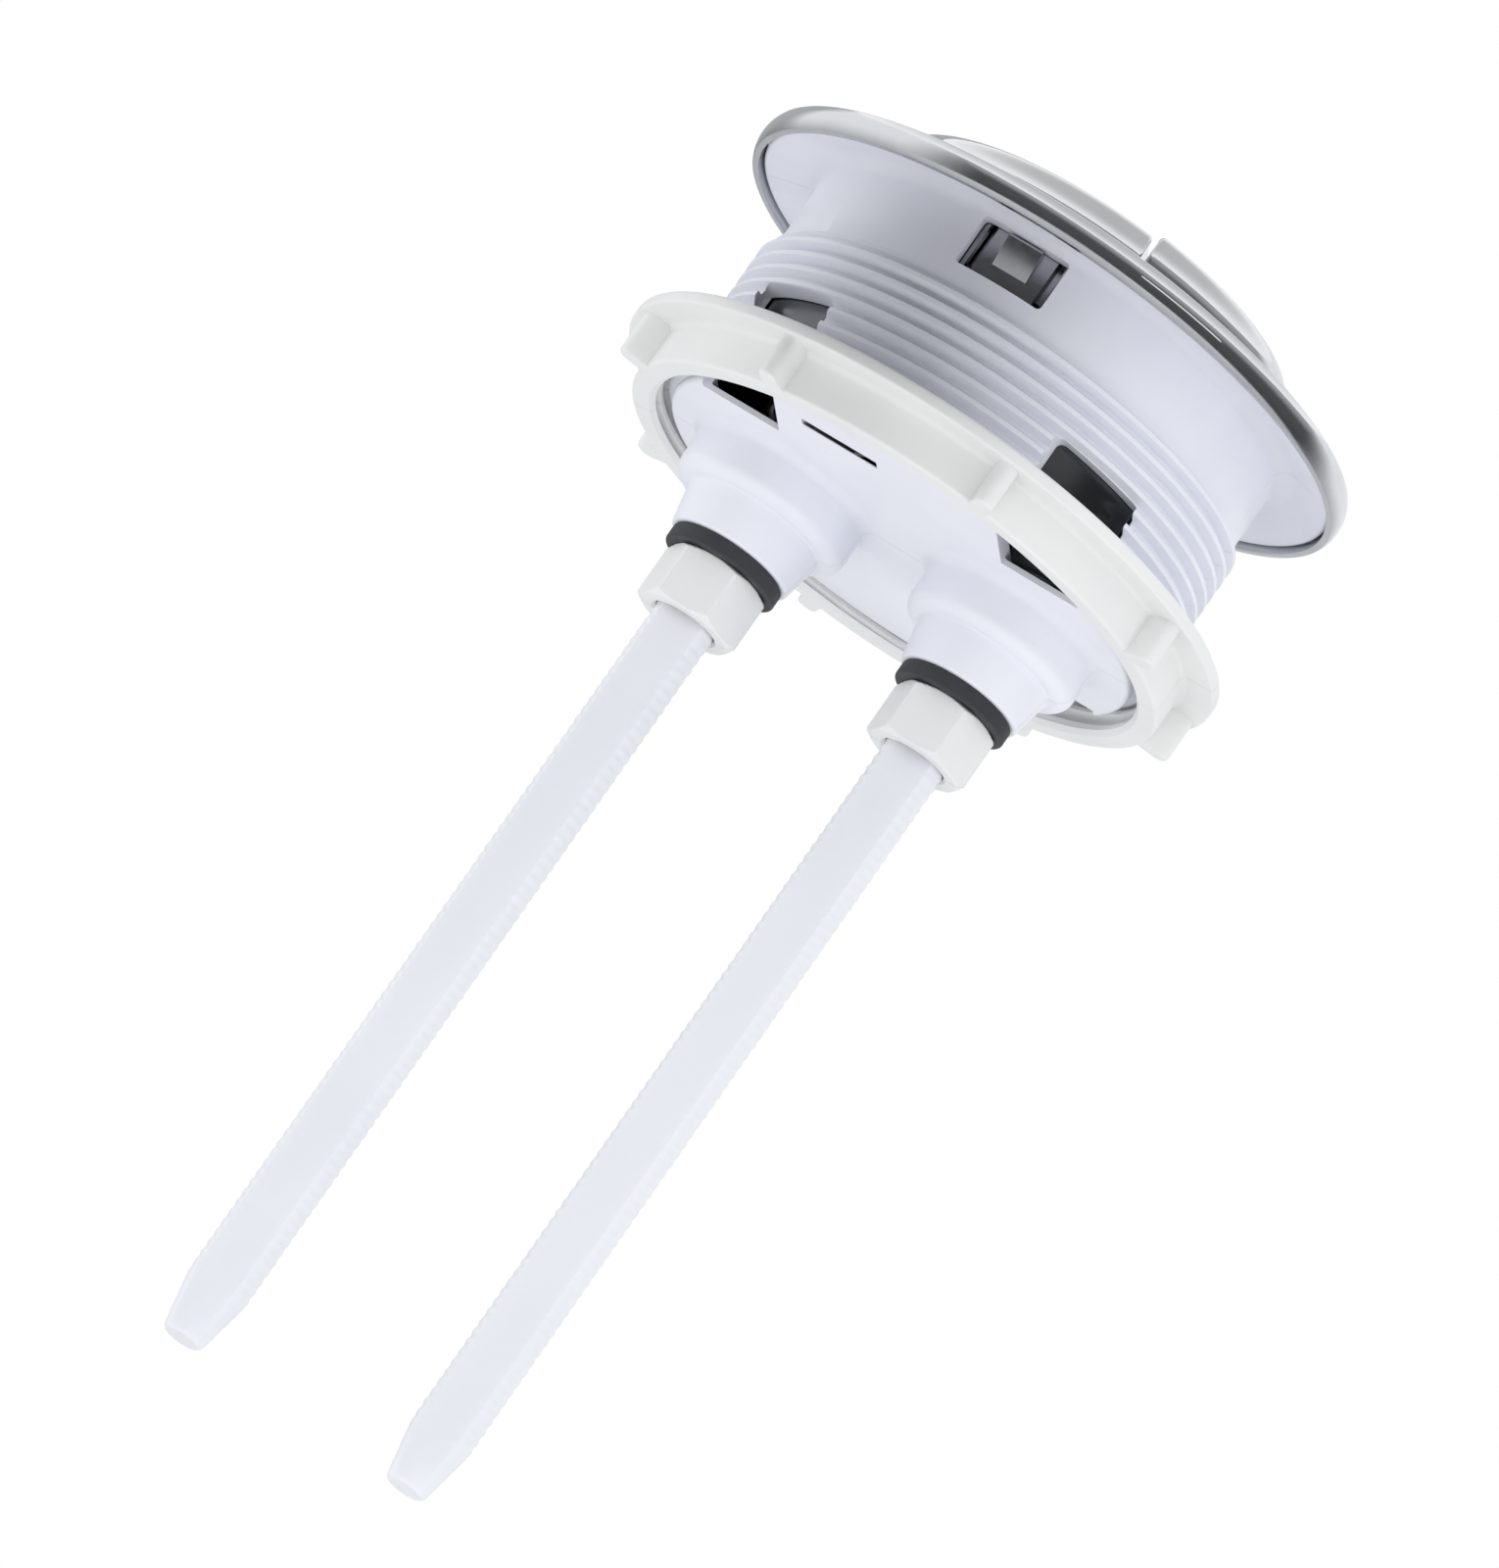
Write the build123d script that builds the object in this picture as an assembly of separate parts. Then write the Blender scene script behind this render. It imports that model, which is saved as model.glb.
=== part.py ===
from build123d import *
import math
import os

# Push button actuator for a dual flush cistern, in millimetres.
# The origin is the centre of the bezel's seat on the cistern lid, +Z points up to the user,
# and the two push rods stand in the XZ plane below the lid.

# Threaded barrel of the housing
thread_diameter = 57.6
thread_depth = 1.1
thread_pitch = 1.75
thread_crest = 0.55
thread_flank = 0.35
neck_length = 7.2
barrel_depth = 26.2
housing_wall = 1.5
base_thickness = 1.6
base_chamfer = 0.7

# Flange of the housing, dished under the bezel
flange_thickness = 1.05
neck_fillet = 1.6

# Windows of the housing, all cut along Y
clip_window_margin = 0.6
clip_window_top = 0.4
clip_window_height = 5.8
slot_inner_edge = 13.4
slot_width = 9.2
slot_height = 11.6
slot_floor_reach = 14.2
slot_lip = 0.6
slot_lip_length = 4.0
base_slit_length = 9.0
base_slit_width = 1.6
base_slit_middle = 5.6
base_slit_reach = 20.4

# Turrets under the base that guide the plungers
rod_spacing = 27.8
turret_radius = 9.9
turret_height = 5.5
turret_shoulder_round = 1.6
turret_root_fillet = 1.4
turret_wall = 1.8
guide_top_radius = 7.8
guide_tip_radius = 6.9
guide_length = 4.7

# Bezel
lid_overlap = 6.7
bezel_wall = 1.5
rim_height = 3.0
rim_bulge = 0.4
rim_lip = 1.1
collar_height = 5.4
collar_round = 0.7
bezel_crown = 0.35
sleeve_wall = 1.1
tongue_width = 7.2
tongue_slit = 0.9
tongue_top = 1.6
tongue_depth = 6.3
catch_width = 4.0
catch_height = 3.6
catch_reach = 1.3
catch_play = 0.2

# Push buttons
button_edge_height = 9.8
button_crown = 1.2
button_edge_round = 4.0
button_wall = 1.6
button_skirt_depth = 4.0
split_offset = 6.4
split_radius = 81.0
split_gap = 0.6
split_round = 0.5
half_button_rise = 0.7
socket_wall = 1.4
button_rib = 1.2

# Plungers that carry the rods
plunger_head_radius = 6.3
plunger_head_thickness = 2.0
spigot_radius = 2.6
spigot_length = 6.0
stem_radius = 4.2
rod_socket_depth = 23.0

# Return springs
spring_wire = 0.9
spring_mean_radius = 5.4
spring_turns = 7

# Push rods, lock nuts and washers
rod_diameter = 6.9
rod_across_flats = 4.8
rod_tip_diameter = 4.6
rod_taper_length = 6.0
rod_tip_round = 0.5
full_rod_drop = 90.6
half_rod_drop = 91.9
nut_across_flats = 10.4
nut_height = 6.4
nut_chamfer = 0.5
washer_diameter = 13.0
washer_thickness = 1.8

# Lock ring that clamps the lid from below
ring_overhang = 1.0
ring_height = 6.4
ring_band_wall = 2.7
ring_flange_reach = 3.6
ring_flange_thickness = 1.5
ring_edge_round = 0.5
ring_root_fillet = 0.8
lug_count = 8
lug_width = 2.2
lug_reach = 3.0
lug_round = 0.7
lug_first_angle = 22.5

# Clearances
sleeve_fit = 0.2
sleeve_end_gap = 0.6
flange_fit = 0.2
seat_gap = 0.1
button_gap = 0.4
guide_gap = 0.3
thread_fit = 0.1
spigot_fit = 0.05
ring_gap = 0.3

# Radii and heights that follow from the sizes above
crest_radius = thread_diameter / 2
root_radius = crest_radius - thread_depth
barrel_bore = root_radius - housing_wall
sleeve_radius = barrel_bore - sleeve_fit
bezel_bore = sleeve_radius - sleeve_wall
button_radius = bezel_bore - button_gap
sleeve_depth = barrel_depth - base_thickness - sleeve_end_gap
bezel_radius = crest_radius + lid_overlap
rim_bore = bezel_radius - rim_lip
flange_radius = rim_bore - flange_fit
rod_radius = rod_diameter / 2
rod_x = rod_spacing / 2
base_bottom = -barrel_depth
shoulder = base_bottom - turret_height
guide_bottom = shoulder - guide_length
guide_bore = stem_radius + guide_gap
pocket_radius = turret_radius - turret_wall
pocket_floor = shoulder + turret_wall
head_bottom = -(button_skirt_depth + plunger_head_thickness)
nut_top = guide_bottom - washer_thickness
nut_bottom = nut_top - nut_height
ring_bore = crest_radius + ring_gap
band_radius = ring_bore + ring_band_wall
far = 2 * bezel_radius

# The two flushes: the side of X that their parts stand on, the rod's free length and the cap's rise
flushes = {
    "full_flush": (-1, full_rod_drop, 0.0),
    "half_flush": (1, half_rod_drop, half_button_rise),
}


def profile_revolve(*edges):
    """Closed profile of edges in the XZ plane, turned once round Z."""
    return revolve(Plane.XZ * make_face(list(edges)), Axis.Z)


def polygon_revolve(*points):
    """Closed polygon of (radius, height) points, turned once round Z."""
    return profile_revolve(*Polyline(*points, close=True).edges())


def block(x_range, y_range, z_range):
    """Box between two limits on each axis."""
    size = [high - low for low, high in (x_range, y_range, z_range)]
    middle = [(low + high) / 2 for low, high in (x_range, y_range, z_range)]
    return Pos(*middle) * Box(*size)


def post(radius, low, high):
    """Upright cylinder on the Z axis between two heights."""
    return Pos(0, 0, (low + high) / 2) * Cylinder(radius, high - low)


def bezel_slope(radius, drop):
    """Height of the bezel's straight slope at a radius, lowered by drop."""
    run = (bezel_radius - rim_bulge - radius) / (bezel_radius - rim_bulge - bezel_bore)
    return rim_height + (collar_height - rim_height) * run - drop


def make_bezel():
    rim_top = (bezel_radius - rim_bulge, rim_height)
    rim_foot = (bezel_radius - rim_bulge, 0)
    collar_edge = (bezel_bore + collar_round, collar_height)
    slope_middle = (rim_top[0] + collar_edge[0]) / 2
    bore_top = (bezel_bore, collar_height - collar_round)
    lip_round = collar_round * (1 - math.sqrt(0.5))
    slope_top = (slope_middle, bezel_slope(slope_middle, 0) + bezel_crown)
    sleeve_top = (sleeve_radius, bezel_slope(sleeve_radius, bezel_wall))
    rim_inside = (rim_bore, bezel_slope(rim_bore, bezel_wall))
    lip_middle = (bezel_bore + lip_round, collar_height - lip_round)
    shell = profile_revolve(
        ThreePointArc(rim_foot, (bezel_radius, rim_height / 2), rim_top),
        ThreePointArc(rim_top, slope_top, collar_edge),
        ThreePointArc(collar_edge, lip_middle, bore_top),
        Line(bore_top, (bezel_bore, -sleeve_depth)),
        Line((bezel_bore, -sleeve_depth), (sleeve_radius, -sleeve_depth)),
        Line((sleeve_radius, -sleeve_depth), sleeve_top),
        Line(sleeve_top, rim_inside),
        Line(rim_inside, (rim_bore, 0)),
        Line((rim_bore, 0), rim_foot),
    )
    tongue_edge = tongue_width / 2
    slit_edge = tongue_edge + tongue_slit
    wall = (-sleeve_radius - sleeve_fit, 0)
    cut = block((-slit_edge, slit_edge), wall, (-tongue_depth - tongue_slit, tongue_top))
    cut -= block((-tongue_edge, tongue_edge), wall, (-tongue_depth, tongue_top))
    catch_top = clip_window_top - catch_play
    catch_root = -sleeve_radius + sleeve_wall / 2
    catch_tip = -sleeve_radius - catch_reach
    side = make_face(Polyline(
        (catch_root, catch_top),
        (catch_tip, catch_top),
        (catch_root, catch_top - catch_height),
        close=True,
    ))
    catch = extrude(Plane.YZ * side, catch_width / 2, both=True)
    for turn in (0, 180):
        shell -= Rot(0, 0, turn) * cut
        shell += Rot(0, 0, turn) * catch
    return shell


def thread_outline():
    """Points of the barrel's ridges, from the neck down to the base."""
    ridge_width = thread_crest + 2 * thread_flank
    count = int((barrel_depth - base_chamfer - neck_length) / thread_pitch)
    points = []
    for index in range(count):
        top = -neck_length - index * thread_pitch
        points.append((root_radius, top))
        points.append((crest_radius, top - thread_flank))
        points.append((crest_radius, top - ridge_width + thread_flank))
        points.append((root_radius, top - ridge_width))
    return points


def make_turret():
    """Stepped turret below the base, hollow above for the spring and bored for the plunger."""
    rounded = turret_radius - turret_shoulder_round
    edge_inset = turret_shoulder_round * (1 - math.sqrt(0.5))
    root_inset = turret_root_fillet * (1 - math.sqrt(0.5))
    root = (turret_radius + turret_root_fillet, base_bottom)
    root_middle = (turret_radius + root_inset, base_bottom - root_inset)
    side_top = (turret_radius, base_bottom - turret_root_fillet)
    side_bottom = (turret_radius, shoulder + turret_shoulder_round)
    edge_middle = (turret_radius - edge_inset, shoulder + edge_inset)
    turret = profile_revolve(
        Line((0, base_bottom), root),
        ThreePointArc(root, root_middle, side_top),
        Line(side_top, side_bottom),
        ThreePointArc(side_bottom, edge_middle, (rounded, shoulder)),
        Line((rounded, shoulder), (guide_top_radius, shoulder)),
        Line((guide_top_radius, shoulder), (guide_tip_radius, guide_bottom)),
        Line((guide_tip_radius, guide_bottom), (0, guide_bottom)),
        Line((0, guide_bottom), (0, base_bottom)),
    )
    hollow = post(pocket_radius, pocket_floor, base_bottom + 2 * base_thickness)
    hollow += post(guide_bore, guide_bottom - guide_gap, 0)
    return turret, hollow


def make_housing():
    slope_drop = bezel_wall + seat_gap
    bore_top = (barrel_bore, bezel_slope(barrel_bore, slope_drop))
    flange_top = (flange_radius, bezel_slope(flange_radius, slope_drop))
    flange_foot = (flange_radius, flange_top[1] - flange_thickness)
    fillet_start = root_radius + neck_fillet
    under_neck = (fillet_start, bezel_slope(fillet_start, slope_drop) - flange_thickness)
    fillet_middle = neck_fillet * (1 - math.sqrt(0.5))
    neck_top = (root_radius, under_neck[1] - neck_fillet)
    base_top = base_bottom + base_thickness
    straight = [
        *thread_outline(),
        (root_radius, base_bottom + base_chamfer),
        (root_radius - base_chamfer, base_bottom),
        (0, base_bottom),
        (0, base_top),
        (barrel_bore, base_top),
        bore_top,
        flange_top,
        flange_foot,
        under_neck,
    ]
    shell = profile_revolve(
        ThreePointArc(under_neck, (root_radius + fillet_middle, under_neck[1] - fillet_middle), neck_top),
        Line(neck_top, straight[0]),
        *Polyline(*straight).edges(),
    )
    turret, hollow = make_turret()
    for side in (-1, 1):
        shell += Pos(side * rod_x, 0, 0) * turret
    for side in (-1, 1):
        shell -= Pos(side * rod_x, 0, 0) * hollow

    below = base_bottom - base_thickness
    half_window = tongue_width / 2 + tongue_slit + clip_window_margin
    window_z = (clip_window_top - clip_window_height, clip_window_top)
    window = block((-half_window, half_window), (-flange_radius, -barrel_bore / 2), window_z)
    slot_x = (slot_inner_edge, slot_inner_edge + slot_width)
    slot = block(slot_x, (-flange_radius, -slot_floor_reach), (below, base_bottom + slot_height))
    lip_y = (-slot_floor_reach, -slot_floor_reach + slot_lip_length)
    lip = block(slot_x, lip_y, (base_bottom + slot_lip, base_top)) & post(barrel_bore, below, 0)
    slot += lip
    openings = window + slot + mirror(slot, Plane.YZ)
    slit_x = (-base_slit_middle - base_slit_length / 2, -base_slit_middle + base_slit_length / 2)
    slit = block(slit_x, (-base_slit_reach - base_slit_width, -base_slit_reach), (below, base_top))
    return shell - openings - mirror(openings, Plane.XZ) - slit - Rot(0, 0, 180) * slit


def cap_outline(inset, rise):
    """Dome of the two buttons together, drawn in by an inset, raised by rise and open below."""
    radius = button_radius - inset
    edge = button_edge_height + rise - inset
    rounding = max(button_edge_round - inset, button_edge_round / 4)
    arc = rounding * (1 - math.sqrt(0.5))
    low = -button_skirt_depth - (button_wall if inset else 0)
    crown = (0, edge + button_crown)
    shoulder = (radius - rounding, edge)
    dome_middle = (radius / 2, edge + 0.75 * button_crown)
    return profile_revolve(
        Line((0, low), (radius, low)),
        Line((radius, low), (radius, edge - rounding)),
        ThreePointArc((radius, edge - rounding), (radius - arc, edge - arc), shoulder),
        ThreePointArc(shoulder, dome_middle, crown),
        Line(crown, (0, low)),
    )


def split_side(body, side, inset):
    """The part of a body on one side of the arc between the buttons, short of it by an inset."""
    reach = split_radius - side * inset
    pillar = Pos(split_offset + split_radius, 0, 0) * Cylinder(reach, 2 * far)
    return body & pillar if side > 0 else body - pillar


def make_button(side, rise):
    """Chromed cap on one side of the split, with a socket and ribs for its plunger."""
    outer = split_side(cap_outline(0, rise), side, split_gap / 2)
    split_wall = outer.faces().sort_by_distance((split_offset, 0, 0))[0]
    outer = fillet(split_wall.edges().sort_by(Axis.Z)[-1:], split_round)
    inner = split_side(cap_outline(button_wall, rise), side, split_gap / 2 + button_wall)
    x = side * rod_x
    socket_radius = spigot_radius + spigot_fit
    socket = Pos(x, 0, 0) * post(socket_radius + socket_wall, -button_skirt_depth, button_edge_height)
    rib_low = -button_skirt_depth + socket_wall
    half_rib = button_rib / 2
    ribs = block((x - half_rib, x + half_rib), (-far, far), (rib_low, far))
    ribs += block((-far, far), (-half_rib, half_rib), (rib_low, far))
    bore = Pos(x, 0, 0) * post(socket_radius, -far, spigot_length - button_skirt_depth + spigot_fit)
    return outer - inner + (inner & (socket + ribs)) - bore


def make_plunger():
    """White plunger: spigot in the button, head on the spring, stem through the turret."""
    head_top = -button_skirt_depth
    body = post(spigot_radius, head_top, head_top + spigot_length)
    body += post(plunger_head_radius, head_bottom, head_top)
    body += post(stem_radius, nut_top, head_bottom)
    return body - post(rod_radius + thread_fit, nut_top, nut_top + rod_socket_depth)


def make_spring():
    """Coil spring between the turret's floor and the plunger's head, with ground ends."""
    length = head_bottom - pocket_floor
    pitch = length / spring_turns
    path = Pos(0, 0, pocket_floor - pitch / 4) * Helix(pitch, length + pitch / 2, spring_mean_radius)
    section = Plane(origin=path @ 0, z_dir=path % 0) * Circle(spring_wire / 2)
    coil = sweep(section, path, is_frenet=True)
    return coil & post(spring_mean_radius + spring_wire, pocket_floor, head_bottom)


def make_rod(drop):
    """Push rod with flats at front and back, from the plunger's socket to a tapered tip."""
    tip_radius = rod_tip_diameter / 2
    top = nut_top + rod_socket_depth
    tip = nut_bottom - drop
    round_rod = polygon_revolve(
        (0, top),
        (rod_radius, top),
        (rod_radius, tip + rod_taper_length),
        (tip_radius, tip + rod_tip_round),
        (tip_radius - rod_tip_round, tip),
        (0, tip),
    )
    half_flat = rod_across_flats / 2
    return round_rod & block((-rod_radius, rod_radius), (-half_flat, half_flat), (tip, top))


def make_nut():
    """Hexagon lock nut with its corners chamfered at both ends and two flats along the rod's."""
    corner = nut_across_flats / math.sqrt(3)
    hexagon = Pos(0, 0, nut_bottom) * extrude(RegularPolygon(corner, 6), nut_height)
    limit = polygon_revolve(
        (0, nut_top),
        (corner - nut_chamfer, nut_top),
        (corner, nut_top - nut_chamfer),
        (corner, nut_bottom + nut_chamfer),
        (corner - nut_chamfer, nut_bottom),
        (0, nut_bottom),
    )
    return (hexagon & limit) - post(rod_radius + thread_fit, nut_bottom, nut_top)


def make_washer():
    """Rubber washer between the turret's foot and the lock nut."""
    outside = post(washer_diameter / 2, nut_top, guide_bottom)
    return outside - post(stem_radius + thread_fit, nut_top, guide_bottom)


def make_lock_ring():
    """Ring nut with a flange on top, a band below and grip lugs round the band."""
    bottom = base_bottom - ring_overhang
    top = bottom + ring_height
    flange_radius_out = band_radius + ring_flange_reach
    under = top - ring_flange_thickness
    edge = flange_radius_out - ring_edge_round
    band_top = (band_radius, under - ring_root_fillet)
    band_corner = (band_radius + ring_root_fillet, under)
    inset = ring_root_fillet * (1 - math.sqrt(0.5))
    edge_inset = ring_edge_round * (1 - math.sqrt(0.5))
    ring = profile_revolve(
        Line((ring_bore, bottom), (ring_bore, top)),
        Line((ring_bore, top), (edge, top)),
        ThreePointArc((edge, top), (flange_radius_out - edge_inset, top - edge_inset),
                      (flange_radius_out, top - ring_edge_round)),
        Line((flange_radius_out, top - ring_edge_round), (flange_radius_out, under)),
        Line((flange_radius_out, under), band_corner),
        ThreePointArc(band_corner, (band_radius + inset, under - inset), band_top),
        Line(band_top, (band_radius, bottom)),
        Line((band_radius, bottom), (ring_bore, bottom)),
    )
    lug_outside = band_radius + lug_reach
    half_lug = lug_width / 2
    lug = block((-half_lug, half_lug), (-lug_outside, -band_radius + ring_band_wall / 2), (bottom, under))
    outer_edges = lug.edges().filter_by(Axis.Z).sort_by(Axis.Y)[:2]
    lug = fillet(outer_edges, lug_round)
    for index in range(lug_count):
        ring += Rot(0, 0, lug_first_angle + index * 360 / lug_count) * lug
    return ring


def build_parts():
    """Every node of the actuator by name, at its place."""
    parts = {
        "bezel": make_bezel(),
        "housing": make_housing(),
        "lock_ring": make_lock_ring(),
    }
    for name, (side, drop, rise) in flushes.items():
        place = Pos(side * rod_x, 0, 0)
        parts[f"{name}_button"] = make_button(side, rise)
        parts[f"{name}_plunger"] = place * make_plunger()
        parts[f"{name}_spring"] = place * make_spring()
        parts[f"{name}_rod"] = place * make_rod(drop)
        parts[f"{name}_lock_nut"] = place * make_nut()
        parts[f"{name}_washer"] = place * make_washer()
    return parts


os.makedirs("parts", exist_ok=True)
for node, solid in build_parts().items():
    export_step(solid, f"parts/{node}.step")
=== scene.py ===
import math

import bmesh
import bpy
import numpy as np
from bpy.props import FloatProperty, FloatVectorProperty, IntProperty, PointerProperty
from bpy.types import Operator, Panel, PropertyGroup
from mathutils import Matrix, Vector


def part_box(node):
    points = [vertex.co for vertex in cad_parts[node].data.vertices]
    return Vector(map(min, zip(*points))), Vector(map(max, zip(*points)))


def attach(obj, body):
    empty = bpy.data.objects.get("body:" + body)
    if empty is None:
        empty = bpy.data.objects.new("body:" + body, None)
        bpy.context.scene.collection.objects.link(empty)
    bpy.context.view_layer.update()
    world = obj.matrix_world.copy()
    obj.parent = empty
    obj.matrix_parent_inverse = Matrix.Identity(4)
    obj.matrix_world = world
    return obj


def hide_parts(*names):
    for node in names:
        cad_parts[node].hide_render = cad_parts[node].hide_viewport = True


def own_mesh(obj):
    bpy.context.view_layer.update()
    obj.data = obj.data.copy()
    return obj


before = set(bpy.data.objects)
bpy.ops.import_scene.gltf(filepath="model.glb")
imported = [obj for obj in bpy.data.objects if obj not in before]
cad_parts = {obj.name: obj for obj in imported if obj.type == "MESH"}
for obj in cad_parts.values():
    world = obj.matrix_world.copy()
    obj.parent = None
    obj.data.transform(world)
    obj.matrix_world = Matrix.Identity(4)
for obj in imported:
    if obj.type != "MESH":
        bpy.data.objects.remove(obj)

bl_info = {
    "name": "Cistern push button",
    "version": (1, 0, 0),
    "blender": (4, 5, 0),
    "location": "View3D > Sidebar > Push button",
    "description": "Dual flush button for a cistern lid with its threaded barrel, lock ring and push rods",
    "category": "Object",
}

MM = 0.001
FULL_TURN = 2 * math.pi
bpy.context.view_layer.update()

# Points closer than WELD become one, and edges shorter than SLIVER go
WELD, SLIVER = 2e-7, 1e-7

# Size of the image in pixels and width of the camera's sensor in millimetres
IMAGE_WIDTH, IMAGE_HEIGHT, SENSOR = 1530, 1600, 36

# Body of each flush, the side of X it stands on and the joint that presses it
FLUSHES = {"full_flush": (-1, "full_flush_press"), "half_flush": (1, "half_flush_press")}

# One turn of a thread from the top down: (share of the pitch, share of the thread's depth)
BARREL_RIDGE = np.array([
    (0.03, 0.0), (0.25, 0.0), (0.30, 0.1), (0.46, 0.9), (0.51, 1.0), (0.77, 1.0), (0.82, 0.9), (0.98, 0.1),
])
ROD_RIDGE = np.array([(0.0, 0.0), (0.14, 0.07), (0.40, 0.9), (0.5, 1.0), (0.60, 0.9), (0.86, 0.07)])

# Each finish: its tone, strength and depth in millimetres of its relief, roughness of a moulded skin (plating
# has its own), whether it shows a parting seam, and values of the shader itself
FINISHES = {
    "chrome_plating": {"tone": "chrome", "relief": (0.08, 0.20), "shader": {"Metallic": 1.0}},
    "housing_white": {
        "tone": "white", "relief": (0.10, 0.12), "gloss": 0.36, "seam": True, "shader": {"IOR": 1.5}},
    "ring_white": {
        "tone": "ring", "relief": (0.14, 0.15), "gloss": 0.42, "seam": True, "shader": {"IOR": 1.5}},
    "rod_nylon": {"tone": "rod", "relief": (0.12, 0.12), "gloss": 0.40, "shader": {
        "IOR": 1.53, "Subsurface Weight": 0.25, "Subsurface Scale": 1.5 * MM,
        "Subsurface Radius": (1.0, 0.95, 0.9)}},
    "washer_rubber": {
        "tone": "rubber", "relief": (0.35, 0.20), "gloss": 0.62, "shader": {"Specular IOR Level": 0.35}},
    "spring_steel": {"tone": "steel", "relief": (0.20, 0.10), "gloss": 0.30, "shader": {"Metallic": 1.0}},
}
SEAM_RELIEF = (0.7, 0.12)

# Each lamp: its place to the right of, nearer than and above the part, its size, watts and colour
LAMP_TARGET = Vector((0, 0, -0.05))
LAMPS = {
    "left_lamp": ((-1.1, -0.5, -0.1), 0.6, 1.9, (1.0, 0.99, 0.98)),
    "right_lamp": ((1.2, 0.6, -0.15), 0.6, 2.4, (0.98, 0.99, 1.0)),
    "low_lamp": ((-0.2, 0.6, -0.95), 0.7, 2.0, (1.0, 1.0, 1.0)),
}

# Studio in metres and in degrees from the camera's side, but the flag's arc from X
FLOOR_REACH = 6.0
BAND_RADIUS, BAND_TOP, BAND_DARKEST = 3.6, 2.7, 24
STRIP_RADIUS, STRIP_HEIGHT, STRIP_ARC = 3.5, (0.78, 1.08), (14, 48)
SKY_RADIUS, SKY_HEIGHT = 3.55, 3.1
FLAG_RADIUS, FLAG_HEIGHT, FLAG_ARC = 51 * MM, (-21 * MM, 9 * MM), (-126, -78)

# Kinds of ray that miss the cards which only show in the plating, and the flag which only shades
REFLECTED_ONLY = ("camera", "diffuse", "shadow", "transmission")
SHADING_ONLY = ("camera", "glossy", "transmission")


def length(label, about, millimetres):
    """Length property whose default is given in millimetres."""
    return FloatProperty(name=label, description=about, default=millimetres * MM, unit="LENGTH", precision=5)


def degrees(label, about, angle):
    """Angle property whose default is given in degrees."""
    return FloatProperty(name=label, description=about, default=math.radians(angle), subtype="ANGLE")


def tint(label, about, colour):
    """Colour property in linear red, green and blue."""
    return FloatVectorProperty(
        name=label, description=about, default=colour, subtype="COLOR", size=3, min=0, max=1)


class BezelSizes(PropertyGroup):
    rim_radius: length("Rim radius", "Outermost radius of the bezel", 35.48)
    rim_height: length("Rim height", "Height of the rim above the lid", 3.0)
    rim_bulge: length("Rim bulge", "How far the rim's side bows out", 0.4)
    rim_lip: length("Rim lip", "Width of the rim's foot on the lid", 1.1)
    rim_round: length("Rim rounding", "Rounding along the rim's upper edge", 0.4)
    crown: length("Slope crown", "Rise of the sloping top over its chord", 0.27)
    collar_height: length("Collar height", "Height of the edge round the buttons", 5.4)
    collar_round: length("Collar rounding", "Rounding of the edge round the buttons", 0.7)
    bore: length("Bore", "Radius of the opening for the buttons", 24.9)
    wall: length("Top wall", "Wall thickness of the sloping top", 1.5)
    sleeve_radius: length("Sleeve radius", "Outer radius of the sleeve in the barrel", 26.0)
    sleeve_depth: length("Sleeve depth", "Depth of the sleeve below the lid", 24.0)
    tongue_width: length("Tongue width", "Width of each snap tongue", 7.2)
    tongue_slit: length("Tongue slit", "Width of the slit round each tongue", 0.9)
    tongue_top: length("Tongue root", "Height of the tongue's root", 1.6)
    tongue_depth: length("Tongue depth", "Depth of the tongue's free end", 6.3)
    catch_width: length("Catch width", "Width of the square catch on a tongue", 4.0)
    catch_top: length("Catch top", "Height of the catch's upper face", 0.2)
    catch_height: length("Catch height", "Height of the catch's ramp", 3.6)
    catch_reach: length("Catch reach", "How far the catch stands out of the sleeve", 1.3)


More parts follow.
